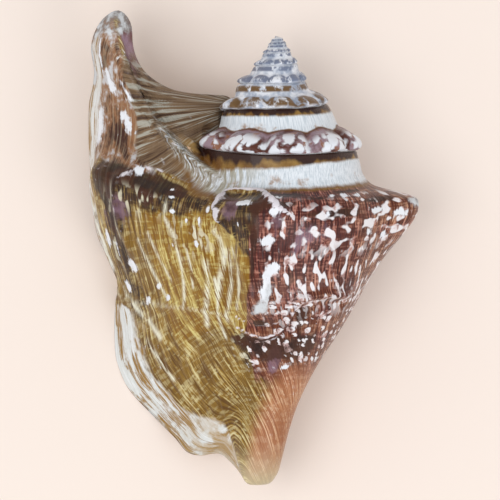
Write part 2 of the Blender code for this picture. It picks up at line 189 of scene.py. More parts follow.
# Knobs: theta, row share, height, half width in degrees, reach towards apex and canal in rows.
KNOBS = (
    (2.0, 0.41, 8.8, 15.0, 0.035, 0.13), (109.0, 0.395, 6.6, 17.0, 0.035, 0.08),
    (103.0, 0.53, 4.2, 7.5, 0.12, 0.12), (100.0, 0.675, 4.4, 14.0, 0.055, 0.032),
    (60.0, 0.645, 1.4, 26.0, 0.05, 0.04), (123.0, 0.54, -1.6, 8.0, 0.07, 0.1),
    (-68.0, 0.44, 3.4, 24.0, 0.07, 0.16),
)
SPIRE_KNOBS_PER_TURN = 10
SPIRE_KNOB_ANGLE = 87.0
SPIRE_KNOB_HEIGHT = 0.07
SPIRE_KNOB_PLACE = 0.8
SPIRE_KNOB_REACH = 0.15
print("stations along the lip:", len(RIM), "knobs:", len(KNOBS))

# %% [markdown]
# ## Smooth curves through a few stations
#
# A shell has no straight lines and no arcs. Each profile is a short table of stations, and a cubic Hermite
# curve runs through them. A spline object in Blender would do the same, but a formula can be read at a whole
# array of places at once.

# %% Curves
def smooth(low, high, value):
    """0 up to low, 1 from high, with an S-shaped rise between."""
    share = np.clip((value - low) / (high - low), 0.0, 1.0)
    return share * share * (3.0 - 2.0 * share)


def span(value, start, full, fade, stop):
    """1 from full to fade and 0 outside start and stop, with an S-shaped step at either end."""
    return smooth(start, full, value) * smooth(stop, fade, value)


def hermite(t, start, start_run, end, end_run):
    """Cubic from start to end with the given tangents."""
    return (
        (2 * t**3 - 3 * t**2 + 1) * start
        + (t**3 - 2 * t**2 + t) * start_run
        + (3 * t**2 - 2 * t**3) * end
        + (t**3 - t**2) * end_run
    )


def through(knots, values, at):
    """Cubics from knot to knot through the values, read at one or more places."""
    slopes = np.gradient(values, knots, axis=0)
    at = np.clip(np.asarray(at, float), knots[0], knots[-1])
    i = np.clip(np.searchsorted(knots, at, side="right") - 1, 0, len(knots) - 2)
    room = (knots[i + 1] - knots[i])[..., None]
    t = (at - knots[i])[..., None] / room
    return hermite(t, values[i], room * slopes[i], values[i + 1], room * slopes[i + 1])


def keyed(table, at):
    """Smooth curve through a table's rows, read at its first column."""
    rows = np.array(table, float)
    return through(rows[:, 0], rows[:, 1:], at)


print("soft step, a quarter of the way:", smooth(0.0, 1.0, 0.25))

# %% [markdown]
# ## The spire
#
# In a spire each whorl shows only the strip between its own suture and the next one. The strip is the same
# profile every time, scaled by the room between the two sutures, with low rounded knobs above the lower one.
# A screw modifier could wind one profile, but it would keep its size, and these whorls shrink as they rise.

# %% Spire
def suture(theta):
    """Radius and axial place of the suture; it sways so that it looks level from above."""
    radius, along = np.moveaxis(keyed(SUTURE, theta), -1, 0)
    side = np.cos(np.radians(theta))
    sway = radius * (SUTURE_SWAY * side + SUTURE_DIP * (0.5 + 0.5 * side))
    return radius, along - sway * smooth(60, -60, theta)


def band(theta, share):
    """Radius and axial place on a spire whorl, between its suture and the next one."""
    upper = suture(theta)
    lower = suture(theta + 360.0)
    drop, widen = np.moveaxis(keyed(BAND, share), -1, 0)
    radius = upper[0] + (lower[0] - upper[0]) * widen
    wave = 0.5 + 0.5 * np.cos(np.radians((theta - SPIRE_KNOB_ANGLE) * SPIRE_KNOBS_PER_TURN))
    bump = np.exp(-(((share - SPIRE_KNOB_PLACE) / SPIRE_KNOB_REACH) ** 2))
    radius = radius * (1.0 + SPIRE_KNOB_HEIGHT * (wave - 0.4) * bump)
    return radius, upper[1] + (lower[1] - upper[1]) * drop


def band_end(theta):
    """Share of a spire whorl left in sight: the lip climbs up it on the far side."""
    return 1.0 - LIP_HIDES * smooth(LIP_LEAVES_AT - 360, LIP_ANGLE - 360, theta)


print("suture over the back, mm:", [round(float(v), 1) for v in suture(90.0)])

# %% [markdown]
# ## The body whorl
#
# The last whorl runs on down to the tip of the canal. It grows from the slim profile one turn back to the
# full one over the back, and big knobs, a rib and a bulge stand out from it.

# %% Body whorl
def knobs(theta, row):
    """How far the knobs of the last whorl stand out: a sum of round bells, longer on one side."""
    out = np.zeros(np.broadcast(theta, row).shape)
    for angle, place, height, width, above, below in KNOBS:
        reach = np.where(row < place, above, below)
        out += height * np.exp(-(((theta - angle) / width) ** 2) - ((row - place) / reach) ** 2)
    return out


def to_rest(radius, theta, along):
    """Turns a place round the axis into x, y and height above the table."""
    angle = np.radians(theta)
    pitch = math.radians(AXIS_PITCH)
    bend = keyed(AXIS_BEND, along)[..., 0]
    x = bend + radius * np.cos(angle)
    up = radius * np.sin(angle)
    y = along * math.cos(pitch) - up * math.sin(pitch)
    z = AXIS_HEIGHT + along * math.sin(pitch) + up * math.cos(pitch)
    return np.stack(np.broadcast_arrays(x, y, z), axis=-1)


def start_profile(row):
    """Radius and axial place one turn before the lip; down to the joint it is the end of the spire."""
    upper = band(FIRST_ANGLE, band_end(FIRST_ANGLE) * np.clip(row / JOINT_ROW, 0, 1))
    corner = band(FIRST_ANGLE, band_end(FIRST_ANGLE))
    lower = np.moveaxis(keyed(((JOINT_ROW, *corner),) + START, row), -1, 0)
    return [np.where(row < JOINT_ROW, a, b) for a, b in zip(upper, lower)]


def body(theta, row):
    """A point of the last whorl while it is still round, between its two profiles by the square root."""
    grown = np.clip((theta - FIRST_ANGLE) / (90.0 - FIRST_ANGLE), 0, 1.3) ** 0.5
    old = start_profile(row)
    new = np.moveaxis(keyed(BODY, row), -1, 0)
    radius, along = [a + (b - a) * grown for a, b in zip(old, new)]
    # The top row follows the suture on the whorl before.
    top = band(theta - 360, band_end(theta - 360))
    old_top = start_profile(np.zeros(1))
    fade = 1 - smooth(0, 0.34, row)
    radius = radius + (top[0] - (old_top[0] + (BODY[0][1] - old_top[0]) * grown)) * fade
    along = along + (top[1] - (old_top[1] + (BODY[0][2] - old_top[1]) * grown)) * fade
    return to_rest(radius, theta, along)


print("shoulder over the back, mm:", body(90.0, np.array([0.44])).round(1))

# %% [markdown]
# ## The lip
#
# At the end of growth the mouth's edge flares. Each row leaves the round body along the direction in which
# it was growing, climbs to the crest of the lip and turns down to its edge. The upper rows run on into the
# long finger, and the web between finger and spire is the fan that they leave behind.

# %% Lip
def seam(theta):
    """Where the last whorl's top row sits on the whorl before, up to the lip's end."""
    radius, along = band(theta - 360.0, band_end(theta - 360.0))
    return to_rest(radius, theta, along)


def edge(table, share, row):
    """Rim or crest of the lip, run back to the seam at its top."""
    first = leave_angle(np.zeros(()))
    start = seam(first + share * (LIP_ANGLE - first))
    return keyed(((0.0, *start),) + table, row)


def leave_angle(row):
    """Where each row leaves the round body to become the lip."""
    return LIP_LEAVES_AT - LIP_LEAVES_SOONER * smooth(0.0, 0.4, row)


def lip_path(t, row):
    """A row of the spread lip: from the body over the crest to the edge, t from 0 to 1."""
    leave = leave_angle(row)
    step = 2.0
    foot = body(leave, row)
    growth = (foot - body(leave - step, row)) / step * (LIP_ANGLE - leave)[..., None]
    crest = edge(CREST, CREST_SHARE, row)
    rim = edge(RIM, 1.0, row)
    reach = np.linalg.norm(crest - foot, axis=-1, keepdims=True)
    drop = np.linalg.norm(rim - crest, axis=-1, keepdims=True)
    finger = np.exp(-(((row - FINGER_ROW) / FINGER_REACH) ** 2))[..., None]
    leaving = growth * CREST_SHARE * (1 - finger) + reach * FINGER_LEAVES * finger
    ahead = (rim - foot) / np.linalg.norm(rim - foot, axis=-1, keepdims=True)
    ahead = ahead * (1 - finger) + np.array(FINGER_POINTS) * finger
    rise = hermite(t / CREST_SHARE, foot, leaving, crest, ahead * reach)
    over = (t - CREST_SHARE) / (1 - CREST_SHARE)
    fall = hermite(over, crest, ahead * drop, rim, (rim - crest) * 1.2)
    return np.where(t < CREST_SHARE, rise, fall)


def lip(theta, row):
    """A point of the spread lip; its top rows lean on the seam with the whorl before."""
    leave = leave_angle(row)
    t = np.clip((theta - leave) / (LIP_ANGLE - leave), 0, 1)[..., None]
    top = np.zeros_like(row)
    first = leave_angle(top)
    on_seam = seam(first + t[..., 0] * (LIP_ANGLE - first))
    hold = (1 - smooth(0.0, 0.14, row))[..., None]
    return lip_path(t, row) + (on_seam - lip_path(t, top)) * hold


print("angles where the lip's rows leave the body:", leave_angle(np.array((0.0, 0.2, 0.4))))


# %% The whole outer face
def towards_axis(point):
    """Unit vector from a point to the axis, level with it."""
    axis = to_rest(np.zeros(point.shape[:-1]), 0.0, point[..., 1])
    pull = axis - point
    pull[..., 1] = 0.0
    return pull / (np.linalg.norm(pull, axis=-1, keepdims=True) + 1e-9)


def plain(theta, row):
    """Outer face of the last whorl before its knobs, round body and lip alike."""
    on_lip = (theta > leave_angle(row))[..., None]
    return np.where(on_lip, lip(theta, row), body(theta, row))


def outside(theta, row):
    """Outer face of the last whorl with its knobs pushed out from the axis."""
    face = plain(theta, row)
    return face - knobs(theta, row)[..., None] * towards_axis(face)


tallest = outside(*np.meshgrid(np.arange(60.0, 140.0, 2.0), np.array((0.4, 0.53)), indexing="ij"))
print("highest point of the central knob, mm:", tallest[..., 2].max().round(1))

# %% [markdown]
# ## The inner faces
#
# Underneath, the lip's inner face runs from the edge up into the shell, and the whorl before it forms the
# opposite wall. Giving a Solidify modifier to the outside would be quicker, but the two walls would cross
# where the whorls touch, so both are worked out, and meet in a narrow corner.

# %% How thick the lip is and how deep the hollow
def thickness(row):
    """Thickness of the lip along its edge: thin web, stout finger, thin again at the canal."""
    web = smooth(0.0, 0.08, row) * (2.0 + 2.8 * smooth(0.04, 0.34, row))
    return web * (1 - 0.7 * smooth(0.76, 0.92, row))


def throat_angle(row):
    """Angle at which the hollow ends: deep in the body, shallow along the canal."""
    under_web = 1 - smooth(0.1, 0.44, row)
    return THROAT_ANGLE + SHALLOW_UNDER_WEB * under_web + SHALLOW_AT_CANAL * smooth(0.72, 0.92, row)


print("thickness at web, finger and canal, mm:", thickness(np.array((0.06, 0.22, 0.95))).round(1))


# %% Inner face of the lip
# Depths of its six stations, from the edge to the hollow's end. The fifth lies under the shelf of the lip,
# this share of the way from the body to the edge.
DEPTHS = np.array((0.0, 0.06, 0.2, 0.4, 0.7, 1.0))
SHELF_SHARE = 0.35


def throat(depth, row):
    """Inner face of the lip: depth 0 at the edge, 1 where the hollow ends."""
    rim = edge(RIM, 1.0, row)
    crest = edge(CREST, CREST_SHARE, row)
    inward = -np.cross(np.gradient(rim, axis=-2), crest - rim)
    inward /= np.linalg.norm(inward, axis=-1, keepdims=True) + 1e-9
    thick = thickness(row)[..., None]
    leave = leave_angle(row)
    shelf = lip(leave + SHELF_SHARE * (LIP_ANGLE - leave), row)
    round_part = smooth(0.15, 0.45, row)[..., None]
    hub = towards_axis(shelf) * round_part + np.array((0.0, 0.0, -1.0)) * (1 - round_part)
    down = inward * 0.6 * round_part + np.array((0.0, 0.0, -0.9))
    end = throat_angle(row)
    deep = np.where((row < 0.5)[..., None], plain(end, row), body(end, row))
    wall = THIN_WALL + (WALL - THIN_WALL) * smooth(0.2, 0.45, row)
    wall = wall * (1 - 0.45 * smooth(0.76, 0.9, row))
    stations = np.stack(
        [
            rim,
            rim + 0.10 * (crest - rim) + 0.36 * thick * inward,
            rim + 0.45 * (crest - rim) + 0.65 * thick * inward,
            crest + thick * down,
            shelf + thick * hub,
            deep + wall[..., None] * towards_axis(deep),
        ]
    )
    arched = through(DEPTHS, stations, depth)
    # Under the web the inner face follows the outer one, so that the thin sheet does not cross itself.
    follow = plain(LIP_ANGLE + depth * (end - LIP_ANGLE), row)
    follow = follow + thick * down * smooth(0.0, 0.2, depth)
    near_top = (1 - smooth(0.08, 0.18, row))[..., None]
    return arched + (follow - arched) * near_top


print("stations from edge to hollow:", len(DEPTHS))


# %% Opposite wall
def inner_wall(depth, row):
    """The whorl before, seen inside the aperture, from the inner lip to the hollow's end."""
    theta = FIRST_ANGLE + depth * (throat_angle(row) - LIP_ANGLE)
    shrink = WHORL_SHRINK ** ((FIRST_ANGLE - theta) / 360.0)
    radius, along = start_profile(row)
    corner = band(theta[..., :1], band_end(theta[..., :1]))
    fade = 1 - smooth(JOINT_ROW, JOINT_ROW + 0.3, row)
    under = smooth(0.0, 0.5, depth)
    radius = radius * shrink
    radius = radius + (corner[0] + CORNER_OUT * under - radius[..., :1]) * fade
    along = along + (corner[1] - CORNER_DOWN * under - along[..., :1]) * fade
    return to_rest(radius, theta, along)


print("size of the whorl before, as a share:", WHORL_SHRINK)

# %% [markdown]
# ## One closed skin
#
# The pieces of the surface are grids of points, and neighbouring grids share their border points, so the skin
# has no seams. With every point go the facts that the relief and the glaze need later: the angle, the row,
# how old that part of the shell is, how far out on the lip it lies, and whether it is an inner face.

# %% Collect points, facts and triangles
FACTS = ("turn", "row", "age", "share", "lip", "inside")


class Skin:
    """Grids of points joined into triangles; every point carries the same list of facts."""

    def __init__(self):
        self.points, self.facts, self.triangles, self.count = [], [], [], 0

    def add(self, points, **facts):
        """Adds a grid of points and gives back their numbers in the same layout."""
        shape = points.shape[:-1]
        numbers = self.count + np.arange(int(np.prod(shape))).reshape(shape)
        self.points.append(points.reshape(-1, 3))
        columns = [np.broadcast_to(facts.get(name, 0.0), shape).ravel() for name in FACTS]
        self.facts.append(np.stack(columns, axis=-1))
        self.count += numbers.size
        return numbers

    def join(self, left, right):
        """Two triangles for every square between two sets of columns; flat ones are dropped."""
        a, b, c, d = left[..., :-1], right[..., :-1], right[..., 1:], left[..., 1:]
        both = np.concatenate([np.stack([a, b, c], -1), np.stack([a, c, d], -1)])
        corners = both.reshape(-1, 3)
        whole = (corners != np.roll(corners, 1, axis=1)).all(axis=1)
        self.triangles.append(corners[whole])


print("facts on each point:", ", ".join(FACTS))


# %% Angles of the columns and shares of the rows
def one_turn():
    """Column angles from one turn before the lip's end to the end, closer together on the lip."""
    round_part = np.linspace(FIRST_ANGLE, LIP_STARTS, COLUMNS_ROUND, endpoint=False)
    return np.concatenate([round_part, np.linspace(LIP_STARTS, LIP_ANGLE, COLUMNS_ON_LIP + 1)])


TURN = one_turn()
ROW = np.arange(ROWS_IN_BODY + 1) / ROWS_IN_BODY
COLUMNS = COLUMNS_ROUND + COLUMNS_ON_LIP
print("columns, degrees apart:", np.diff(TURN)[[0, -1]].round(2))


# %% Wind the last whorl
def wind_last_whorl(skin):
    """Grid of the last whorl. The canal's tip is one point, and the lip's end comes back to its own start."""
    turns, rows = np.meshgrid(TURN, ROW, indexing="ij")
    on_lip = np.clip((turns - leave_angle(rows)) / (LIP_ANGLE - leave_angle(rows)), 0, 1)
    whorl = outside(turns, rows)
    whorl[:, 0] = seam(TURN)
    whorl[0] = to_rest(start_profile(ROW)[0], TURN[0], start_profile(ROW)[1])
    last = skin.add(whorl, turn=turns, row=rows, share=rows, lip=on_lip)
    last[:, -1] = last[0, -1]
    last[COLUMNS, 0] = last[0, ROWS_PER_BAND]
    return last


skin = Skin()
last = wind_last_whorl(skin)
print("points in the last whorl:", skin.count)


# %% Wind the spire
def wind_spire(skin, last):
    """One strip wound from the apex to the last whorl; a column's last point is the next turn's first."""
    early = np.concatenate([TURN[:-1] - 360.0 * m for m in range(WHORLS_IN_SPIRE, 0, -1)])
    turns, shares = np.meshgrid(early, np.arange(ROWS_PER_BAND) / ROWS_PER_BAND, indexing="ij")
    radius, along = band(turns, band_end(turns) * shares)
    age = (TURN[0] - turns) / (360.0 * WHORLS_IN_SPIRE)
    points = to_rest(radius, turns, along)
    spire = np.empty((len(early) + 1, ROWS_PER_BAND + 1), int)
    spire[:-1, :-1] = skin.add(points, turn=turns, row=shares / 6, age=age, share=shares)
    spire[-1] = last[0, : ROWS_PER_BAND + 1]
    spire[:, -1] = np.concatenate([spire[COLUMNS:, 0], last[1:, 0]])[: len(spire)]
    return spire


spire = wind_spire(skin, last)
print("points with the spire:", skin.count)


# %% Line the mouth
def line_mouth(skin, last):
    """Rings of points from the lip's edge and from the inner lip, both up to the hollow's end."""
    lip_side, body_side = [last[COLUMNS]], [last[0]]
    deep_rows = ROW[ROWS_PER_BAND:]
    for depth in np.arange(1, DEPTHS_IN_THROAT + 1) / DEPTHS_IN_THROAT:
        facts = {"lip": 1 - depth, "inside": 1.0}
        outer = skin.add(throat(depth, ROW), turn=LIP_ANGLE - 100 * depth, row=ROW, **facts)
        wall = inner_wall(depth, deep_rows)
        inner = np.full(ROWS_IN_BODY + 1, -1)
        inner[ROWS_PER_BAND:] = skin.add(wall, turn=TURN[0] - 100 * depth, row=deep_rows, **facts)
        inner[:ROWS_PER_BAND] = inner[ROWS_PER_BAND]
        outer[0] = inner[ROWS_PER_BAND]
        outer[-1] = inner[-1] = last[0, -1]
        lip_side.append(outer)
        body_side.append(inner)
    return np.array(lip_side), np.array(body_side)


lip_side, body_side = line_mouth(skin, last)
print("points with the mouth:", skin.count)


# %% Join the grids and close the apex
def close_apex(skin, spire):
    """A fan of triangles from one point on the axis to the first turn of the strip."""
    ring = np.concatenate([spire[: COLUMNS + 1, 0], spire[0, ROWS_PER_BAND - 1 : 0 : -1]])
    middle = np.concatenate(skin.points)[ring].mean(axis=0)
    apex = skin.add(middle[None] + (0, APEX_RISE, 0), age=1.0)
    skin.triangles.append(np.stack([np.full(len(ring), apex[0]), np.roll(ring, -1), ring], -1))


walls = body_side[:, ROWS_PER_BAND:]
for left, right in (
    (spire[:-1], spire[1:]),
    (last[:-1], last[1:]),
    (lip_side[:-1], lip_side[1:]),
    (lip_side[-1], body_side[-1]),
    (walls[1:], walls[:-1]),
):
    skin.join(left, right)
close_apex(skin, spire)
print("triangles:", sum(len(part) for part in skin.triangles))


# %% Keep only the points in use, and face the skin outwards
def packed(skin):
    """Renumbers the triangles' points, and turns them round if the skin's volume comes out negative."""
    used, numbers = np.unique(np.concatenate(skin.triangles), return_inverse=True)
    points, facts = np.concatenate(skin.points)[used], np.concatenate(skin.facts)[used]
    triangles = numbers.reshape(-1, 3)
    a, b, c = (points[triangles[:, i]] for i in range(3))
    volume = np.einsum("ij,ij->i", a, np.cross(b, c)).sum() / 6.0
    if volume < 0:
        triangles = triangles[:, ::-1]
    print("volume, cm3:", round(abs(volume) / 1000, 1))
    return points, dict(zip(FACTS, facts.T)), triangles


points, fact, triangles = packed(skin)

# %% [markdown]
# ## Relief
#
# Growth left folds, cords and creases that stand a few tenths of a millimetre high, and up to 2 mm at the
# knobs. They could be a bump texture, but at the outline and in close light real relief reads better, so the
# coarse part of it moves the skin along its normals. A crease or a crest is a line of a few stations on the
# two directions, with a soft profile across it.

# %% Marks on the surface's own two directions
TURN_MM = 0.46
ROW_MM = 105.0


def patch(at_turn, at_row, wide, tall):
    """A soft round mark: the exponential of minus the squared distance, in degrees and rows."""
    return np.exp(-(((fact["turn"] - at_turn) / wide) ** 2) - ((fact["row"] - at_row) / tall) ** 2)


def line(stations, width):
    """A soft line through stations of angle and row: falls with the distance in mm across it."""
    place = np.stack([fact["turn"] * TURN_MM, fact["row"] * ROW_MM], -1)
    stops = np.array(stations, float) * (TURN_MM, ROW_MM)
    nearest = np.full(len(place), np.inf)
    for start, stop in zip(stops, stops[1:]):
        run = stop - start
        share = np.clip(((place - start) @ run) / (run @ run), 0, 1)
        gap = np.linalg.norm(place - start - share[:, None] * run, axis=1)
        nearest = np.minimum(nearest, gap)
    return np.exp(-((nearest / width) ** 2))


print("a degree and a row, mm:", TURN_MM, ROW_MM)


# %% Waves and shifted lines
def ripple(position, periods, seed):
    """Sum of a few waves of different length, each with its own phase; about -1 to 1."""
    phases = np.random.default_rng(seed).uniform(0, 2 * math.pi, len(periods))
    waves = [np.sin(2 * math.pi * position / period + phase) for period, phase in zip(periods, phases)]
    return sum(waves) / len(waves) ** 0.5


def lowered(stations, rows):
    """The same line of stations, a little further towards the canal."""
    return [(turn, row + rows) for turn, row in stations]


print("ripple of period 8 at three places:", ripple(np.arange(3.0), (8.0,), 4).round(2))


# %% Crests and creases
KNOB_RIM = ((119, 0.445), (121, 0.415), (122.5, 0.395), (124.5, 0.372), (126, 0.352), (119, 0.343),
            (110, 0.341), (102, 0.35), (96, 0.385), (92.5, 0.412), (87, 0.43))
KNOB_CREASE = ((125.5, 0.46), (125.5, 0.43), (127, 0.4), (129.5, 0.378), (130, 0.355))
KNOB_SIDE = ((121, 0.415), (118, 0.45), (114, 0.51), (111, 0.55), (107, 0.6), (104, 0.65), (103, 0.68))
BULGE_CREST = ((118, 0.71), (108, 0.728), (97.5, 0.733), (88.5, 0.723), (82, 0.7), (79, 0.67),
               (74.5, 0.648), (67, 0.637), (40, 0.64))
SECOND_CORD = ((214, 0.56), (200, 0.578), (180, 0.6), (160, 0.638), (142, 0.672), (126, 0.69), (119, 0.71))
LEFT_SHOULDER = ((202, 0.402), (190, 0.39), (175, 0.376), (163, 0.364), (150, 0.36))
SHOULDER_FOLD = ((177, 0.385), (186, 0.41), (188, 0.44), (187, 0.475), (183, 0.51))
INNER_LIP_FOLD = ((205, 0.41), (207, 0.47), (209, 0.55))
OUTER_LIP_FOLD = ((215, 0.41), (216, 0.48), (217, 0.54))

# Crests and creases: stations of angle and row, half width in mm, height in mm.
CRESTS = (
    (KNOB_RIM, 0.9, 1.5),
    (KNOB_SIDE, 1.1, 0.9),
    (SHOULDER_FOLD, 1.1, 0.8),
    (KNOB_CREASE, 1.1, -1.4),
    (BULGE_CREST, 1.0, 1.2),
    (lowered(BULGE_CREST, 0.024), 1.2, -0.9),
    (SECOND_CORD, 1.1, 0.45),
    (LEFT_SHOULDER, 1.2, 0.7),
    (INNER_LIP_FOLD, 0.6, 0.55),
    (OUTER_LIP_FOLD, 0.6, 0.55),
)
print("crests and creases:", len(CRESTS))

# %% Folds, cords and lobes
# Soft round places, as angle, row, half width in degrees and half height in rows.
KNOB_HOLLOW = (110, 0.4, 8, 0.035)
THIN_WEB = (171, 0.12, 9, 0.035)
WEB_PAD = (172, 0.12, 6, 0.025)
# Heights and depths in mm; the lobes' as a share of the radius, the groove's width in rows.
HOLLOW_DEPTH = 0.8
PAD_HEIGHT = 1.2
SEAM_BEAD = 0.8
CORD_HEIGHT = 0.28
LOBE_DEPTH = 0.075
GROOVE_DEPTH = 0.35
GROOVE_WIDTH = 0.006
# Lengths of the waves in degrees, for the folds and for the cords of the web.
FOLD_PERIODS = (5.3, 7.9, 11.7, 3.7)
CORD_PERIODS = (5.2, 7.9, 3.7)
# The collar begins at this share of a spire whorl; the valleys between its lobes have this width.
COLLAR_FROM = 0.46
VALLEY_WIDTH = 0.32
# The web's cords spread from the place where the web meets the spire.
WEB_HUB = (-9.0, 38.6)
fact["fan"] = np.degrees(np.arctan2(points[:, 1] - WEB_HUB[1], WEB_HUB[0] - points[:, 0]))


def web_cover():
    """Where the web's cords show: the upper lip between the spire and the finger."""
    row, lip_place = fact["row"], fact["lip"]
    cover = smooth(0.03, 0.08, row) * smooth(0.335, 0.25, row + 0.12 * smooth(0.35, 0.75, lip_place))
    return cover * smooth(0.02, 0.12, lip_place) * (fact["age"] <= 0) * (1 - fact["inside"])


def whorl_relief(whorl):
    """Relief of the last whorl in mm: growth folds, cords of the web, crests and creases, the seam's bead."""
    turn, row, lip_place = fact["turn"], fact["row"], fact["lip"]
    sway = turn + 2.5 * np.sin(row * 21) + 1.2 * np.sin(row * 55 + 1)
    low_lip = smooth(0.5, 0.62, row) * smooth(0.55, 0.85, lip_place)
    depth = 0.04 + 0.06 * smooth(0.1, 0.7, lip_place) + 0.14 * low_lip
    height = ripple(sway, FOLD_PERIODS, 4) * depth * span(row, 0.1, 0.3, 0.9, 1.0)
    cords = ripple(fact["fan"] + 1.5 * np.sin(row * 60), CORD_PERIODS, 9)
    height += CORD_HEIGHT * web_cover() * cords * smooth(0.99, 0.9, lip_place)
    height += sum(rise * line(stations, width) for stations, width, rise in CRESTS)
    height -= HOLLOW_DEPTH * patch(*KNOB_HOLLOW)
    # Where the web is thin or leans on the whorl before, the relief fades, and a low bead closes the seam.
    height *= whorl * (1 - smooth(0.03, 0.12, lip_place) * smooth(0.15, 0.07, row))
    thin = np.maximum(smooth(136, 150, turn) * smooth(0.11, 0.05, row), patch(*THIN_WEB))
    bead = SEAM_BEAD * span(turn, 176, 184, 198, 205) * smooth(0.03, 0.012, row)
    return height * (1 - whorl * thin) + whorl * (bead + PAD_HEIGHT * patch(*WEB_PAD))


def spire_relief(spire):
    """Relief of the spire in mm: lobes on each collar, scaled with the whorl, and none under the web."""
    turn, age, share = fact["turn"], fact["age"], fact["share"]
    from_axis = np.hypot(points[:, 0], points[:, 2] - AXIS_HEIGHT)
    under_web = span(turn % 360, 165, 178, 240, 262) * smooth(0.2, 0.16, age)
    half_lobe = np.radians((turn - SPIRE_KNOB_ANGLE) * SPIRE_KNOBS_PER_TURN / 2)
    valleys = np.exp(-((np.cos(half_lobe) / VALLEY_WIDTH) ** 2))
    lobes = span(share, COLLAR_FROM, 0.62, 0.86, 1.0) * (0.5 - valleys)
    return spire * LOBE_DEPTH * from_axis * lobes * smooth(0.9, 0.1, age) * (1 - under_web)


def relief():
    """Height of the relief in mm: the last whorl's, the spire's, and a groove along every suture."""
    outer, on_spire = 1 - fact["inside"], fact["age"] > 0
    height = whorl_relief(outer * ~on_spire) + spire_relief(outer * on_spire)
    from_seam = np.where(on_spire, fact["share"] / 6, fact["row"])
    groove = np.exp(-((from_seam / GROOVE_WIDTH) ** 2)) * outer
    return height - GROOVE_DEPTH * groove * smooth(0.05, 0.0, fact["lip"]) * smooth(0.9, 0.3, fact["age"])


height = relief()
print("relief, mm:", round(height.min(), 2), "to", round(height.max(), 2))


# %% Move the skin
def normals_of(points, triangles):
    """Normal at every point: the sum of its triangles' normals, weighted by area, made one long."""
    a, b, c = (points[triangles[:, i]] for i in range(3))
    face = np.cross(b - a, c - a)
    total = np.zeros_like(points)
    for corner in range(3):
        np.add.at(total, triangles[:, corner], face)
    return total / (np.linalg.norm(total, axis=1, keepdims=True) + 1e-12)


points = points + normals_of(points, triangles) * height[:, None]
points[:, :2] -= CENTRE
points[:, 2] = np.maximum(points[:, 2], 0.0)
print("length, width and height, mm:", np.ptp(points, axis=0)[[1, 0, 2]].round(1))

# %% [markdown]
# ## Where the colours lie
#
# The snail's pigment cells sit along the mouth's edge, so colours come in bands and axial streaks. Each
# colour zone is a soft mask over the same two directions, stored on the points of the mesh. The shader then
# breaks the masks up with noise, so no edge is smooth. Painting an image would be the other way, but an image
# has one size, and a mask and a formula have none.
# Some masks are wholly or partly painted light: highlights along the crests, and shade at the knob, its rib,
# the bulge, the left shoulder and the finger's side.

# %% Places of single marks
# Each mark: angle, row, half width in degrees, half height in rows, strength.
# Most dark marks are the shell's own dark bands and spots; those along the central knob's top, beside its rib
# and just under the bulge's crest are partly painted shade.
DARK_MARKS_AND_SHADE = (
    (176, 0.395, 20, 0.02, 1.3), (155, 0.385, 9, 0.014, 0.9), (194, 0.42, 7, 0.03, 1.5),
    (192, 0.47, 3, 0.04, 0.7), (168, 0.43, 5, 0.02, 0.6), (113, 0.328, 13, 0.008, 1.2),
    (119, 0.375, 6, 0.012, 0.9), (101, 0.4, 3.5, 0.03, 1.0), (102.5, 0.48, 1.6, 0.05, 1.1),
    (103.5, 0.57, 1.2, 0.04, 0.9), (107.5, 0.45, 1.5, 0.04, 0.5), (88, 0.36, 14, 0.014, 0.9),
    (90, 0.4, 8, 0.012, 0.9), (60, 0.43, 18, 0.016, 0.9), (45, 0.355, 14, 0.012, 0.8),
    (26, 0.398, 11, 0.01, 1.2), (95, 0.765, 24, 0.022, 1.0), (62, 0.755, 14, 0.03, 0.9),
    (98, 0.745, 12, 0.008, 1.1), (72, 0.69, 6, 0.03, 0.8), (122, 0.745, 9, 0.012, 0.6),
    (152, 0.09, 9, 0.045, 1.0), (141, 0.16, 6, 0.02, 0.6), (84, 0.6, 3, 0.05, 0.5),
    (70, 0.38, 8, 0.01, 0.7), (101, 0.705, 6, 0.008, 1.0),
)
PURPLE_MARKS = (
    (114, 0.41, 3.5, 0.035, 1.2), (82, 0.5, 8, 0.06, 0.45), (60, 0.5, 12, 0.05, 0.35),
    (188, 0.45, 12, 0.03, 0.7), (88, 0.785, 7, 0.03, 1.0), (93, 0.44, 3, 0.05, 0.8),
    (112, 0.52, 2, 0.03, 0.6), (205, 0.36, 6, 0.02, 0.4),
)
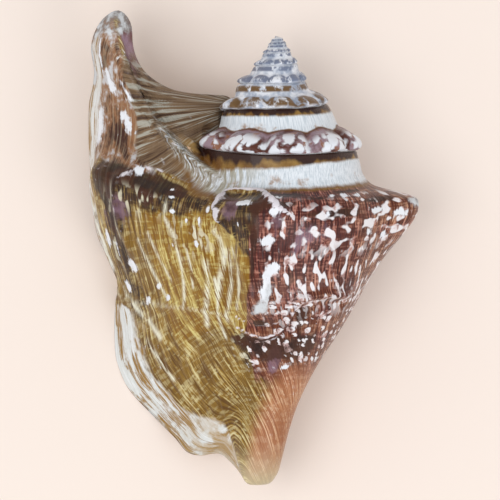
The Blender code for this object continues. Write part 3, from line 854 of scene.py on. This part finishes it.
WHITE_MARKS = (
    (107.5, 0.385, 3.4, 0.011, 1.5), (175, 0.383, 3.0, 0.007, 1.3), (110, 0.46, 0.8, 0.008, 0.9),
    (107, 0.5, 0.8, 0.014, 1.1), (94.5, 0.425, 2.5, 0.014, 1.1), (97, 0.505, 3.4, 0.015, 1.5),
    (94, 0.57, 4.0, 0.015, 1.3), (97, 0.605, 2.4, 0.024, 1.2), (97, 0.64, 2.2, 0.02, 1.0),
    (93, 0.37, 1.4, 0.012, 0.8), (42, 0.375, 4, 0.01, 1.2), (30, 0.43, 6, 0.008, 1.2),
    (14, 0.44, 5, 0.014, 1.2), (52, 0.37, 4, 0.012, 1.1), (36, 0.49, 3, 0.014, 1.1),
    (22, 0.5, 3, 0.016, 1.1), (66, 0.43, 2.5, 0.01, 1.0), (60, 0.37, 2, 0.007, 1.0),
    (138, 0.517, 1.6, 0.007, 1.2), (153, 0.515, 1.3, 0.006, 1.1), (143, 0.455, 1.2, 0.008, 1.0),
    (135, 0.455, 0.9, 0.014, 1.0), (130, 0.42, 1.2, 0.012, 0.9), (151.5, 0.44, 2.2, 0.006, 1.3),
    (158, 0.365, 1.8, 0.004, 1.0), (155, 0.387, 1.6, 0.004, 1.0), (153, 0.405, 1.8, 0.004, 1.0),
    (141, 0.43, 1.6, 0.006, 0.9), (166, 0.61, 2.2, 0.007, 1.1), (185, 0.535, 3.4, 0.011, 1.2),
    (199, 0.49, 1.8, 0.012, 1.2), (180.5, 0.595, 2.2, 0.01, 1.2), (194, 0.56, 1.6, 0.012, 1.2),
    (193, 0.51, 1.2, 0.01, 0.9), (171, 0.58, 1.8, 0.006, 0.9), (187, 0.33, 5, 0.014, 1.0),
    (196, 0.3, 4, 0.012, 1.1), (183, 0.27, 4, 0.012, 0.9), (207, 0.35, 3, 0.02, 1.2),
    (205, 0.28, 3, 0.02, 1.2), (117, 0.8, 1.4, 0.008, 0.9), (75, 0.8, 5, 0.006, 1.1),
    (77, 0.72, 3, 0.01, 1.0),
)
UMBER_MARKS = (
    (113, 0.775, 13, 0.035, 0.9), (190, 0.49, 6, 0.05, 0.6),
    (135, 0.4, 8, 0.03, 0.5), (192, 0.57, 12, 0.09, 0.5),
)
FLECKED_PLACES = (
    (112, 0.77, 22, 0.04, 0.8), (172, 0.43, 24, 0.03, 0.5), (195, 0.5, 20, 0.06, 0.45),
    (140, 0.5, 22, 0.07, 0.5), (190, 0.62, 16, 0.04, 0.4),
)
FEW_FLECKS = (75, 0.4, 30, 0.05)
WORN_PLACES = ((99, 0.668, 7, 0.026, 0.75), (96, 0.6, 3.0, 0.04, 0.6), (2, 0.412, 8, 0.022, 0.9))

print("marks:", len(DARK_MARKS_AND_SHADE) + len(PURPLE_MARKS) + len(WHITE_MARKS))

# %% Long pale streaks
# Each streak: its stations of angle and row, and its half width in mm.
PALE_STREAKS = (
    (((156, 0.425), (155.5, 0.46), (151.5, 0.495), (151, 0.55), (153, 0.6), (156, 0.64)), 0.45),
    (((127, 0.475), (124.5, 0.5), (123.8, 0.53), (124.5, 0.565), (128, 0.6), (130, 0.64)), 0.7),
    (((135, 0.56), (135.5, 0.6), (138.5, 0.64), (142, 0.68), (144, 0.7)), 0.75),
    (((121, 0.53), (119.5, 0.57), (120, 0.61), (123, 0.655), (127, 0.7)), 0.6),
    (((116, 0.52), (114.5, 0.57), (114, 0.63), (116, 0.67)), 0.4),
    (((139, 0.47), (137, 0.5), (134, 0.53)), 0.35),
    (((145, 0.52), (145, 0.57), (147, 0.61)), 0.3),
    (((131, 0.6), (131, 0.65), (134, 0.7), (133, 0.74)), 0.45),
    (((198, 0.565), (193, 0.59), (184, 0.63), (178, 0.67)), 0.6),
    (((188, 0.66), (184, 0.7), (182, 0.75)), 0.5),
    (((168, 0.49), (164, 0.54), (161, 0.58)), 0.3),
    (((176, 0.5), (172, 0.55), (168, 0.6)), 0.3),
    (((207, 0.43), (206, 0.47), (206, 0.52)), 0.5),
)
print("streaks:", len(PALE_STREAKS))


# %% The growth direction
CANAL_ROW = 0.74
CANAL_SWEEP = 40.0
TIP_SWEEP = 70.0


def growth_angle():
    """Angle that stays the same along one growth line. Down the canal it is scaled with the shrinking
    radius, so that lines keep their spacing, and swept towards the row direction."""
    turn, row, on_whorl = fact["turn"], fact["row"], fact["age"] <= 0
    shrink = keyed(BODY, np.maximum(row, CANAL_ROW))[..., 0] / keyed(BODY, CANAL_ROW)[0]
    sweep = CANAL_SWEEP * np.clip((row - 0.56) / 0.4, 0, 1) ** 1.6
    curl = TIP_SWEEP * np.clip((row - CANAL_ROW) / 0.25, 0, 1) ** 2 * smooth(215, 110, turn)
    swept = smooth(190, 150, turn) * ((turn - 100) * (shrink**0.5 - 1) + sweep)
    return turn + on_whorl * (swept + curl)


print("growth lines, from and to, degrees:", growth_angle().min().round(), growth_angle().max().round())


# %% Colour fields
# Row and angle along the left edge of the maroon back, and along the foot of the central knob.
MAROON_EDGE = ((0.34, 100), (0.44, 101), (0.5, 105), (0.6, 106), (0.68, 108), (0.74, 115), (0.86, 112))
KNOB_FOOT = ((0.36, 127), (0.42, 122), (0.46, 118), (0.5, 112), (0.56, 106), (0.7, 103))
# The white band under the suture ends at this row, and this much lower beside the central knob.
BAND_ROWS = 0.315
BAND_ROWS_MORE = 0.04


def marks(places):
    """The sum of soft round marks, cut off at 1.5."""
    total = sum(strength * patch(turn, row, wide, tall) for turn, row, wide, tall, strength in places)
    return np.clip(total, 0, 1.5)


def ground_zones(turn, row, lip_place):
    """Masks of the large colour fields of the last whorl: products and sums of soft steps."""
    east = np.interp(row, *zip(*MAROON_EDGE))
    foot = np.interp(row, *zip(*KNOB_FOOT))
    slant = 260 * (row - 0.8)
    below = turn + 30 * (row - 0.7) + 26 * smooth(0.8, 0.9, row)
    return {
        "maroon": smooth(east + 3, east - 4, turn) * span(row, 0.325, 0.35, 0.76, 0.9),
        "umber": span(turn, 80, 96, foot - 3.0, foot + 3.5) * span(row, 0.345, 0.36, 0.5, 0.6)
        # Painted shade: a dark strip just below the left shoulder's crest.
        + 0.75 * span(turn, 128, 150, 185, 205) * span(row, 0.375, 0.395, 0.42, 0.5)
        + marks(UMBER_MARKS),
        "pale": smooth(184, 203, below) * smooth(0.565, 0.6, row)
        + 0.8 * smooth(203, 214, turn) * span(row, 0.24, 0.29, 0.39, 0.42)
        + 0.65 * smooth(200, 206, turn) * span(row, 0.38, 0.41, 0.52, 0.56),
        "gold": span(turn, 99, 106, 160, 178) * span(row, 0.4, 0.46, 0.66, 0.76),
        "finger": span(row, 0.19, 0.25, 0.37, 0.4) * smooth(158, 182, turn),
        "web": np.maximum(
            0.8 * smooth(0.14, 0.26, lip_place) * span(row, 0.24, 0.28, 0.35, 0.385) * smooth(188, 178, turn),
            smooth(0.12, 0.2, lip_place) * smooth(0.1, 0.05, row),
        ),
        "salmon": smooth(96 + slant, 60 + slant, turn) * span(row, 0.77, 0.84, 0.95, 0.985),
        # Purple on the finger's side towards the web: partly its own colour, partly painted shade.
        "violet_and_shade": span(row, 0.15, 0.18, 0.2, 0.215) * smooth(190, 205, turn),
    }


print("colour fields:", len(ground_zones(fact["turn"], fact["row"], fact["lip"])))


# %% Fields of flecks and streaks, and every mask together
def mark_zones(turn, row):
    """Masks of the flecks, of the pale streaks and of the places where the glaze is worn."""
    flecked = smooth(102, 92, turn) * span(row, 0.33, 0.42, 0.77, 0.81) * (1 - 0.6 * patch(*FEW_FLECKS))
    worn_finger = smooth(55.0, 59.0, points[:, 1])
    worn_edge = 0.7 * smooth(214, 222, turn) * span(row, 0.2, 0.22, 0.3, 0.33)
    return {
        "fleck": flecked + marks(FLECKED_PLACES),
        "streak": sum(line(path, width) for path, width in PALE_STREAKS) + 0.5 * line(SECOND_CORD, 0.3),
        "worn": marks(WORN_PLACES) + worn_finger + worn_edge,
    }


# Three close lines of painted highlight run along the bulge: rows below its crest, and strength.
BULGE_HIGHLIGHTS = ((0.0, 1.0), (-0.02, 0.75), (0.018, 0.7))


def painted_crest_highlights(turn):
    """Painted highlights: pale lines along the rims and crests of the knob, the bulge and the left shoulder.
    """
    knob = 2.1 * line(KNOB_RIM, 0.5) * smooth(80, 92, turn)
    bulge = sum(strength * line(lowered(BULGE_CREST, rows), 0.32) for rows, strength in BULGE_HIGHLIGHTS)
    shoulder = 0.65 * (line(SHOULDER_FOLD, 0.3) + line(LEFT_SHOULDER, 0.3))
    return knob + bulge * smooth(55, 90, turn) + shoulder


def zones():
    """Every mask and direction that the glaze reads, by name; the fields are cut to 0 and 1."""
    turn, row, share = fact["turn"], fact["row"], fact["share"]
    on_spire = fact["age"] > 0
    back = np.where(on_spire, 0.0, 1.0)
    fields = {**ground_zones(turn, row, fact["lip"]), **mark_zones(turn, row)}
    zone = {name: back * np.clip(mask, 0, 1) for name, mask in fields.items()}
    zone["web"] = np.maximum(web_cover(), zone["web"])
    # The dark marks are partly painted shade at the central knob's top, beside its rib and under the bulge's
    # crest.
    for name, places in (("dark", DARK_MARKS_AND_SHADE), ("purple", PURPLE_MARKS), ("white", WHITE_MARKS)):
        zone[name] = back * marks(places)
    # The rim mask is painted highlight along the knob's rim, the bulge's crest and the left shoulder.
    zone["rim"] = back * painted_crest_highlights(turn)
    zone["grain"] = growth_angle()
    zone["mouth"] = np.clip(back * smooth(-40, -75, turn) + fact["inside"], 0, 1)
    last_band = BAND_ROWS + BAND_ROWS_MORE * span(turn, 122, 132, 145, 158)
    scallop = np.cos(np.radians(SPIRE_KNOBS_PER_TURN * (turn - SPIRE_KNOB_ANGLE)))
    spire_band = share / COLLAR_FROM + 0.09 * scallop * smooth(0.3, 0.45, share)
    zone["band"] = np.where(on_spire, spire_band, row / last_band)
    zone["spire"] = 1.0 - back
    return zone


zone = zones()
print("zones:", ", ".join(zone))


# %% Make the mesh
def shell_piece(name):
    """One mesh object from the arrays, smooth, with every mask and direction stored on its points."""
    mesh = bpy.data.meshes.new(name)
    mesh.from_pydata(points * MM, [], triangles)
    mesh.polygons.foreach_set("use_smooth", np.ones(len(triangles), bool))
    stored = {name: fact[name] for name in ("turn", "row", "age", "lip", "fan")}
    for key, values in {**stored, **zone}.items():
        layer = mesh.attributes.new(key, "FLOAT", "POINT")
        layer.data.foreach_set("value", np.ascontiguousarray(values, np.float32))
    mesh.validate()
    piece = bpy.data.objects.new(name, mesh)
    bpy.context.scene.collection.objects.link(piece)
    return piece


shell = shell_piece("shell_skin")
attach(shell, "root")
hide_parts(NODE)
print(shell.name, "mm:", [round(side * 1000, 1) for side in shell.dimensions])

# %% [markdown]
# ## The glaze
#
# The surface is a hard, polished glaze with the pigment under it. Each colour is mixed from a dark and a
# light tone by streaky noise that follows growth, the zones choose between the mixtures, and white flecks,
# streaks and worn places go on top.
# Painted highlights along the crests go on top as well, and some fields carry painted shade at the knob, its
# rib, the bulge, the left shoulder and the finger's side.

# %% A short way to write shader maths
def tone(code):
    """A colour written as six hex digits, turned into the linear values that shaders use."""
    channels = [int(code[i : i + 2], 16) / 255 for i in (1, 3, 5)]
    return [c / 12.92 if c <= 0.04045 else ((c + 0.055) / 1.055) ** 2.4 for c in channels] + [1.0]


class Graph:
    """Shader nodes written as sums: every call makes one node and gives back its output."""

    def __init__(self, tree):
        self.nodes, self.links = tree.nodes, tree.links

    def put(self, socket, value):
        """Links an output to a socket, or sets the socket to a number or a colour."""
        if isinstance(value, bpy.types.NodeSocket):
            self.links.new(value, socket)
        else:
            socket.default_value = tone(value) if isinstance(value, str) else value

    def node(self, kind, settings, sockets):
        """A new node with its settings, and its sockets linked or set; gives back its outputs."""
        node = self.nodes.new("ShaderNode" + kind)
        for name, value in settings.items():
            setattr(node, name, value)
        for socket, value in sockets.items():
            self.put(node.inputs[socket], value)
        return node.outputs

    def fact(self, name):
        """A number stored on the mesh."""
        return self.node("Attribute", {"attribute_name": name}, {})["Fac"]

    def sum(self, a, b, operation="ADD"):
        """One step of arithmetic."""
        return self.node("Math", {"operation": operation}, {0: a, 1: b})[0]

    def times(self, *values):
        """The product of several numbers."""
        product = values[0]
        for value in values[1:]:
            product = self.sum(product, value, "MULTIPLY")
        return product

    def sway(self, noise, amount):
        """Noise moved to lie on both sides of zero, times an amount."""
        return self.times(self.sum(noise, -0.5), amount)

    def rise(self, value, start, stop):
        """0 at start and 1 at stop, with a soft step between; start may be above stop."""
        ends = {"From Min": min(start, stop), "From Max": max(start, stop)}
        levels = {"To Min": float(start > stop), "To Max": float(start <= stop)}
        step = {"interpolation_type": "SMOOTHSTEP"}
        return self.node("MapRange", step, {"Value": value, **ends, **levels})["Result"]

    def span(self, value, start, full, fade, stop):
        """1 from full to fade and 0 outside start and stop."""
        return self.times(self.rise(value, start, full), self.rise(value, stop, fade))

    def mix(self, share, first, second):
        """First colour at share 0, second at 1."""
        sockets = {"Factor": share, "A": first, "B": second}
        return self.node("Mix", {"data_type": "RGBA"}, sockets)["Result"]

    def place(self, x, y, z=0.0):
        """A vector from three numbers."""
        return self.node("CombineXYZ", {}, {0: x, 1: y, 2: z})[0]

    def scaled(self, vector, sizes):
        """A vector stretched along its three axes."""
        return self.node("VectorMath", {"operation": "MULTIPLY"}, {0: vector, 1: sizes})[0]

    def noise(self, vector, scale=1.0, detail=2.0, roughness=0.5):
        """Cloudy noise, about 0.3 to 0.7."""
        sockets = {"Vector": vector, "Scale": scale, "Detail": detail, "Roughness": roughness}
        return self.node("TexNoise", {}, sockets)["Fac"]

    def cells(self, vector, loose):
        """Scattered cells: distance from the nearest cell's middle, and a random number for that cell."""
        outputs = self.node("TexVoronoi", {}, {"Vector": vector, "Scale": 1.0, "Randomness": loose})
        return outputs["Distance"], outputs["Color"]


print("olive in linear values:", [round(c, 3) for c in tone("#8A6A22")])


# %% Patterns that follow growth
# Streaky noises: the two facts that each runs on, the cycles along them, and a place in the noise;
# then its detail and roughness.
STREAKS = {
    "hair": ("bent", 0.85, "row", 16.0, 0.0, 3.0, 0.65),
    "broad": ("bent", 0.2, "row", 9.0, 3.0, 3.0, 0.6),
    "strand": ("fan", 0.42, "lip", 3.0, 4.0, 3.0, 0.6),
    "bars": ("turn", 0.36, "row", 4.0, 6.0, 1.0, 0.5),
    "threads": ("turn", 0.06, "row", 120.0, 7.0, 2.0, 0.5),
}


def blots(g, p, wide, tall, full):
    """Blots of a given width in degrees and height in rows, fuller in some columns than in others."""
    place = g.place(g.times(p.bent, 1 / wide), g.times(p.row, 1 / tall))
    noise = g.sum(g.noise(place, 1.0, 0.6, 0.5), g.sway(p.mottle, 0.16))
    columns = g.noise(g.place(g.times(p.bent, 0.16), g.times(p.row, 5.0), 2.0), 1.0, 1.0)
    return g.rise(g.sum(noise, g.sway(columns, 0.3)), full - 0.02, full + 0.06)


def dashes(g, p, wide, tall, size, chance_needed):
    """Torn dashes in rows round the shell, one in a cell; the cells of low chance stay empty."""
    jag = g.sway(p.mottle, 1.8)
    across = g.sum(g.sum(g.times(p.bent, 1 / wide), g.times(p.row, 9.0)), jag)
    along = g.sum(g.sum(g.times(p.row, 1 / tall), g.sway(p.wander, 1.2)), jag)
    gap, chance = g.cells(g.place(across, along, 5.0), 0.6)
    torn = g.sum(gap, g.sway(p.mottle, 1.1))
    return g.times(g.rise(torn, size, size - 0.16), g.rise(chance, chance_needed, chance_needed + 0.05))


def growth_patterns(g):
    """The mesh's facts, and streaky and blocky noises on them; lengths are in degrees and rows."""
    facts = ("turn", "row", "age", "lip", "fan", "grain", "band", "spire")
    p = SimpleNamespace(**{name: g.fact(name) for name in facts})
    body_place = g.nodes.new("ShaderNodeTexCoord").outputs["Object"]
    p.wander = g.noise(body_place, 70.0, 2.0)
    p.clouds = g.noise(body_place, 160.0, 4.0, 0.6)
    p.mottle = g.noise(body_place, 320.0, 3.0, 0.6)
    p.along = g.noise(g.scaled(body_place, (300.0, 95.0, 95.0)), 1.0, 4.0, 0.65)
    p.bent = g.sum(p.grain, g.sway(p.wander, 1.6))
    for name, (first, per_first, second, per_second, third, detail, roughness) in STREAKS.items():
        place = g.place(g.times(getattr(p, first), per_first), g.times(getattr(p, second), per_second), third)
        setattr(p, name, g.noise(place, 1.0, detail, roughness))
    east = g.times(g.rise(p.turn, 88.0, 76.0), g.rise(p.row, 0.56, 0.5))
    large = g.mix(east, blots(g, p, 3.4, 0.03, 0.572), blots(g, p, 6.4, 0.025, 0.56))
    small = dashes(g, p, 5.0, 0.0135, 0.54, 0.36)
    large, small = g.times(large, g.rise(p.row, 0.72, 0.62)), g.times(small, g.rise(p.row, 0.6, 0.66))
    p.flecks = g.sum(large, small, "MAXIMUM")
    p.specks = dashes(g, p, 3.4, 0.0075, 0.4, 0.5)
    return p


print("streaky noises:", ", ".join(STREAKS))

# %% Tones of the glaze
# Each: dark, middle and light tone, and how strongly the light one shows.
GLAZES = {
    "ochre": ("#60400C", "#A88430", "#DCD2A0", 0.8),
    "gold": ("#78500A", "#AE8624", "#E0D690", 0.85),
    "umber": ("#1E100A", "#5C3D1C", "#B39A5C", 0.6),
    "maroon": ("#320A0C", "#702C22", "#CC8F7C", 0.8),
    "russet": ("#542010", "#9A5E38", "#DDB898", 0.8),
    "salmon": ("#A06240", "#C98C66", "#EFCDB0", 0.6),
}


def grained(g, p, dark, middle, light, pale):
    """Three tones of one glaze: dark and middle in the growth hairs, light where two noises meet."""
    colour = g.mix(g.rise(p.hair, 0.36, 0.6), dark, middle)
    colour = g.mix(g.times(g.rise(p.broad, 0.62, 0.42), 0.55), colour, dark)
    glint = g.times(g.rise(p.hair, 0.53, 0.64), g.rise(p.broad, 0.42, 0.56), pale)
    woven = g.times(g.rise(p.threads, 0.48, 0.6), g.rise(p.hair, 0.4, 0.56), pale * 0.4)
    specks = g.times(p.specks, g.rise(p.broad, 0.42, 0.56), pale * 0.6)
    for share in (glint, woven, specks):
        colour = g.mix(share, colour, light)
    return colour


print("glazes:", ", ".join(GLAZES))


# %% Colour of the body whorl and the lip
def edge_of(g, p, name, ragged=0.4):
    """A zone's mask with a ragged edge, from noise added before a soft step."""
    torn = g.sum(g.sway(p.broad, ragged * 1.4), g.sway(p.clouds, ragged * 1.6))
    return g.rise(g.sum(g.fact(name), torn), 0.3, 0.64)


def back_colour(g, p):
    """Ochre ground, then gold, umber, maroon, salmon, purple and dark fields over it; some umber and dark is
    painted shade.
    """
    glaze = {name: grained(g, p, *tones) for name, tones in GLAZES.items()}
    gold = g.mix(g.times(g.rise(p.broad, 0.5, 0.66), 0.4), glaze["gold"], "#D4C47C")
    ground = g.mix(edge_of(g, p, "gold"), glaze["ochre"], gold)
    # The umber field holds a strip of painted shade below the left shoulder's crest.
    ground = g.mix(edge_of(g, p, "umber", 0.8), ground, glaze["umber"])
    east_or_low = g.sum(g.rise(p.turn, 72.0, 22.0), g.rise(p.row, 0.54, 0.7), "MAXIMUM")
    warm = g.times(east_or_low, g.rise(p.clouds, 0.36, 0.56), 0.7)
    ground = g.mix(edge_of(g, p, "maroon"), ground, g.mix(warm, glaze["maroon"], glaze["russet"]))
    ground = g.mix(g.times(g.fact("salmon"), 0.85), ground, glaze["salmon"])
    ground = g.mix(g.times(g.rise(p.row, 0.92, 0.975), 0.6), ground, "#DCD0AE")
    cloud = g.rise(p.clouds, 0.36, 0.64)
    purple, dark = g.mix(cloud, "#452730", "#86697A"), g.mix(cloud, "#1B0806", "#43200F")
    ground = g.mix(g.times(edge_of(g, p, "purple", 0.7), 0.75), ground, purple)
    # The dark field is partly painted shade at the central knob's top, beside its rib and under the bulge's
    # crest.
    return g.mix(g.times(edge_of(g, p, "dark", 0.7), 0.92), ground, dark)


def lip_colour(g, p, ground):
    """Tan finger, grey-brown cords of the web, purple on the finger's side towards the web that is partly
    painted shade, and white flames below.
    """
    tan = g.mix(g.rise(p.along, 0.4, 0.54), "#3C1C12", "#8F6443")
    tan = g.mix(g.times(g.rise(p.hair, 0.45, 0.65), 0.4), tan, "#C9B89C")
    tan = g.mix(g.times(g.rise(p.along, 0.5, 0.6), g.rise(p.clouds, 0.42, 0.54), 0.9), tan, "#CDCFD3")
    ground = g.mix(edge_of(g, p, "finger"), ground, tan)
    cords = g.mix(g.rise(p.strand, 0.36, 0.52), "#452E1E", "#7A6248")
    cords = g.mix(g.rise(p.strand, 0.52, 0.62), cords, "#ABA89C")
    ground = g.mix(edge_of(g, p, "web", 0.5), ground, cords)
    # Purple on the finger's side towards the web: partly its own colour, partly painted shade.
    ground = g.mix(g.fact("violet_and_shade"), ground, g.mix(g.rise(p.clouds, 0.36, 0.64), "#6A423C", "#97788A"))
    blotched = g.sum(p.broad, g.sway(p.clouds, 0.6))
    flames = g.mix(g.rise(blotched, 0.46, 0.58), "#DEE1DF", "#9C7A44")
    flames = g.mix(g.times(g.rise(p.hair, 0.5, 0.6), 0.6), flames, "#F1F4F7")
    low = g.times(g.rise(p.row, 0.8, 0.9), g.rise(p.clouds, 0.34, 0.54), 0.7)
    return g.mix(edge_of(g, p, "pale", 0.7), ground, g.mix(low, flames, "#B89C70"))


# %% Bands under the sutures
def banded_colour(g, p, ground):
    """Dark patches under each suture, then a white band, then the ground colour with an amber fringe."""
    place = g.sum(p.band, g.sum(g.sway(p.broad, 0.1), g.sway(p.clouds, 0.12)))
    patches = g.noise(g.place(g.times(p.turn, 0.075), 0.0, 5.0), 1.0, 2.0)
    dark = g.rise(g.sum(g.times(patches, 1.3), g.times(place, -1.0)), 0.26, 0.46)
    top = g.mix(dark, g.mix(g.rise(p.clouds, 0.36, 0.64), "#6E4714", "#97763A"), "#2C110A")
    white = g.mix(g.rise(p.hair, 0.34, 0.6), "#C6D1DA", "#E8EFF6")
    white = g.mix(g.times(g.rise(p.clouds, 0.56, 0.68), g.rise(place, 0.6, 0.9)), white, "#A9907F")
    olive = g.times(g.rise(p.turn, 96.0, 130.0), g.rise(p.bars, 0.54, 0.46), 0.6)
    white = g.mix(olive, white, "#84711E")
    golden = g.times(g.rise(p.turn, 124.0, 152.0), g.rise(p.hair, 0.6, 0.44), 0.75)
    white = g.mix(golden, white, g.mix(g.rise(p.bars, 0.42, 0.6), "#654416", "#957638"))
    split = g.times(g.rise(p.turn, 55.0, 100.0), -0.13)
    colour = g.mix(g.rise(g.sum(place, split), 0.3, 0.44), top, white)
    colour = g.mix(g.rise(place, 0.96, 1.06), colour, "#77501A")
    colour = g.mix(g.rise(place, 1.04, 1.12), colour, ground)
    fan = g.times(g.rise(p.lip, 0.2, 0.38), g.sum(1.0, p.spire, "SUBTRACT"))
    return g.mix(fan, colour, ground)


# %% Colour of the spire
def spire_colour(g, p, colour):
    """Purple-brown lobes with white blocks low on the newest whorl, olive and slate patches further up."""
    lobes = g.mix(g.rise(p.clouds, 0.4, 0.58), "#54291F", "#9C8590")
    lobes = g.mix(g.rise(p.mottle, 0.54, 0.64), lobes, "#8C5E46")
    lobes = g.mix(g.rise(p.band, 1.2, 1.02), lobes, "#5A3018")
    warp = g.sway(p.clouds, 2.2)
    blocks = g.place(g.sum(g.times(p.turn, 1 / 7.0), warp), g.sum(g.times(p.band, 2.4), warp))
    white = g.times(g.span(p.band, 1.25, 1.6, 2.08, 2.16), g.rise(g.cells(blocks, 0.9)[0], 0.66, 0.48))
    lobes = g.mix(white, lobes, "#E8EDF5")
    newest = g.mix(g.rise(g.sum(p.band, g.sway(p.clouds, 0.2)), 0.98, 1.08), colour, lobes)
    patches = g.noise(g.place(g.times(p.turn, 0.05), g.times(p.band, 0.6), 2.0), 1.0, 4.0, 0.7)
    rings = g.sum(g.span(p.band, 0.1, 0.3, 0.6, 0.8), g.span(p.band, 1.2, 1.4, 1.9, 2.1))
    stained = g.times(rings, g.rise(patches, 0.42, 0.52))
    chalk = g.mix(g.rise(p.mottle, 0.35, 0.6), "#A6B2C6", "#ECF0F8")
    old = g.mix(stained, chalk, g.mix(g.rise(p.age, 0.22, 0.42), "#6E5230", "#76819A"))
    return g.mix(p.spire, colour, g.mix(g.rise(p.age, 0.155, 0.17), newest, old))


# %% White flecks, streaks and worn places
def marked_colour(g, p, colour):
    """White blocks in axial rows, long pale streaks, painted highlights along the crests, and chalky places
    where the glaze has gone.
    """
    white = g.mix(g.rise(p.mottle, 0.36, 0.5), "#D6B4B0", "#F2F0F4")
    white = g.mix(g.rise(g.fact("maroon"), 0.1, 0.5), "#E6E2C8", white)
    flecks = g.times(p.flecks, g.rise(g.fact("fleck"), 0.2, 0.6), g.rise(p.mottle, 0.26, 0.46), 0.92)
    colour = g.mix(flecks, colour, white)
    torn = g.sum(g.sway(p.mottle, 2.0), g.sway(p.hair, 1.2))
    colour = g.mix(g.rise(g.sum(g.fact("white"), torn), 0.4, 0.8), colour, "#EBEFF6")
    streak = g.times(g.fact("streak"), g.rise(p.clouds, 0.3, 0.46), g.rise(p.hair, 0.4, 0.52), 0.95)
    colour = g.mix(streak, colour, "#F0F0DC")
    # Painted highlights along the knob's rim, the bulge's crest and the left shoulder.
    painted_highlight = g.rise(g.sum(g.fact("rim"), g.sway(p.clouds, 2.4)), 0.45, 0.95)
    colour = g.mix(g.times(painted_highlight, 0.9), colour, "#ECE8F0")
    worn = g.rise(g.sum(g.fact("worn"), g.sway(p.clouds, 2.2)), 0.4, 0.8)
    chalk = g.mix(g.rise(p.mottle, 0.38, 0.58), "#8D8683", "#D0D4D8")
    return g.mix(worn, colour, chalk), worn


# %% The glaze as one material
GLOSS = 0.22
COAT_ROUGHNESS = 0.1
BUMP_DEPTH = 0.2 * MM


def shell_glaze():
    """Principled glaze: mixed colour, coat over all but the worn places, fine bump from the growth lines."""
    material = bpy.data.materials.new("conch_glaze")
    material.use_nodes = True
    g = Graph(material.node_tree)
    surface = material.node_tree.nodes["Principled BSDF"].inputs
    p = growth_patterns(g)
    colour = lip_colour(g, p, back_colour(g, p))
    colour = spire_colour(g, p, banded_colour(g, p, colour))
    colour, worn = marked_colour(g, p, colour)
    cream = g.mix(g.rise(p.clouds, 0.35, 0.65), "#E9DCC8", "#DDB995")
    g.put(surface["Base Color"], g.mix(g.rise(g.fact("mouth"), 0.35, 0.65), colour, cream))
    g.put(surface["Roughness"], g.sum(g.times(worn, 0.35), g.sum(g.times(p.clouds, 0.2), 0.22)))
    g.put(surface["Coat Weight"], g.times(g.rise(worn, 1.0, 0.2), 0.2))
    surface["Coat Roughness"].default_value = COAT_ROUGHNESS
    surface["Specular IOR Level"].default_value = GLOSS
    fine = g.sum(g.sum(p.hair, g.times(p.threads, 0.5)), g.times(worn, p.clouds, 2.0))
    bump = g.node("Bump", {}, {"Distance": BUMP_DEPTH, "Height": fine})
    g.put(surface["Normal"], bump["Normal"])
    return material


shell.data.materials.append(shell_glaze())
print("glaze nodes:", len(shell.data.materials[0].node_tree.nodes))

# %% [markdown]
# ## Table, light and camera
#
# The shell lies on a plain warm-white table under a soft lamp from the left and a weaker one from the right,
# with a dim sky all round. The camera looks straight down from far away, so that the outline hardly changes
# with height.

# %% Table and sky
PAPER = "#F5E8DF"
SKY_STRENGTH = 0.66
TABLE_HALF = 2.0


def table_top():
    """A large flat sheet under the shell."""
    mesh = bpy.data.meshes.new("table_top")
    corners = [(TABLE_HALF * x, TABLE_HALF * y, 0) for x, y in ((-1, -1), (1, -1), (1, 1), (-1, 1))]
    mesh.from_pydata(corners, [], [(0, 1, 2, 3)])
    top = bpy.data.objects.new("table_top", mesh)
    bpy.context.scene.collection.objects.link(top)
    paper = bpy.data.materials.new("paper")
    paper.use_nodes = True
    surface = paper.node_tree.nodes["Principled BSDF"].inputs
    surface["Base Color"].default_value = tone(PAPER)
    surface["Roughness"].default_value = 0.9
    surface["Specular IOR Level"].default_value = 0.0
    mesh.materials.append(paper)


def sky(strength):
    """Even light from all sides; the camera and reflections see the paper's colour."""
    world = bpy.data.worlds.new("sky")
    bpy.context.scene.world = world
    world.use_nodes = True
    g = Graph(world.node_tree)
    background = world.node_tree.nodes["Background"].inputs
    ray = g.node("LightPath", {}, {})
    mirrored = g.sum(ray["Is Glossy Ray"], ray["Is Transmission Ray"], "MAXIMUM")
    seen = g.sum(ray["Is Camera Ray"], mirrored, "MAXIMUM")
    g.put(background["Color"], g.mix(seen, (1.0, 1.0, 1.0, 1.0), PAPER))
    g.put(background["Strength"], g.sum(strength, g.times(seen, 1.0 - strength)))


table_top()
sky(SKY_STRENGTH)
print("table, m:", 2 * TABLE_HALF, "sky strength:", SKY_STRENGTH)

# %% Lamps and camera
# Each lamp: name, place and side in metres, power in watts.
LAMPS = (("window", (-0.7, -0.25, 1.85), 1.1, 13.0), ("fill", (0.9, -0.7, 1.2), 1.0, 6.0))
LAMPS_AIM = (0.0, 0.0, 0.03)
CAMERA_DISTANCE = 2.0
VIEW_PER_LENGTH = 1.052
VIEW_MIDDLE = (-0.0008, -0.0005)


def lamp(name, place, size, power):
    """A square soft lamp that looks at the middle of the shell."""
    data = bpy.data.lights.new(name, "AREA")
    data.size = size
    data.energy = power
    light = bpy.data.objects.new(name, data)
    light.location = place
    aim = Vector(LAMPS_AIM) - Vector(place)
    light.rotation_euler = aim.to_track_quat("-Z", "Y").to_euler()
    bpy.context.scene.collection.objects.link(light)


def camera_above(view_width):
    """A camera straight above the shell that sees view_width at the height of the shell's axis."""
    data = bpy.data.cameras.new("camera")
    data.lens = data.sensor_width * CAMERA_DISTANCE / view_width
    camera = bpy.data.objects.new("camera", data)
    camera.location = (*VIEW_MIDDLE, AXIS_HEIGHT * MM + CAMERA_DISTANCE)
    bpy.context.scene.collection.objects.link(camera)
    bpy.context.scene.camera = camera


for values in LAMPS:
    lamp(*values)
view_width = VIEW_PER_LENGTH * (high - low)[1]
camera_above(view_width)
bpy.context.scene.view_settings.view_transform = "Standard"
print("view width, mm:", round(view_width * 1000, 1))
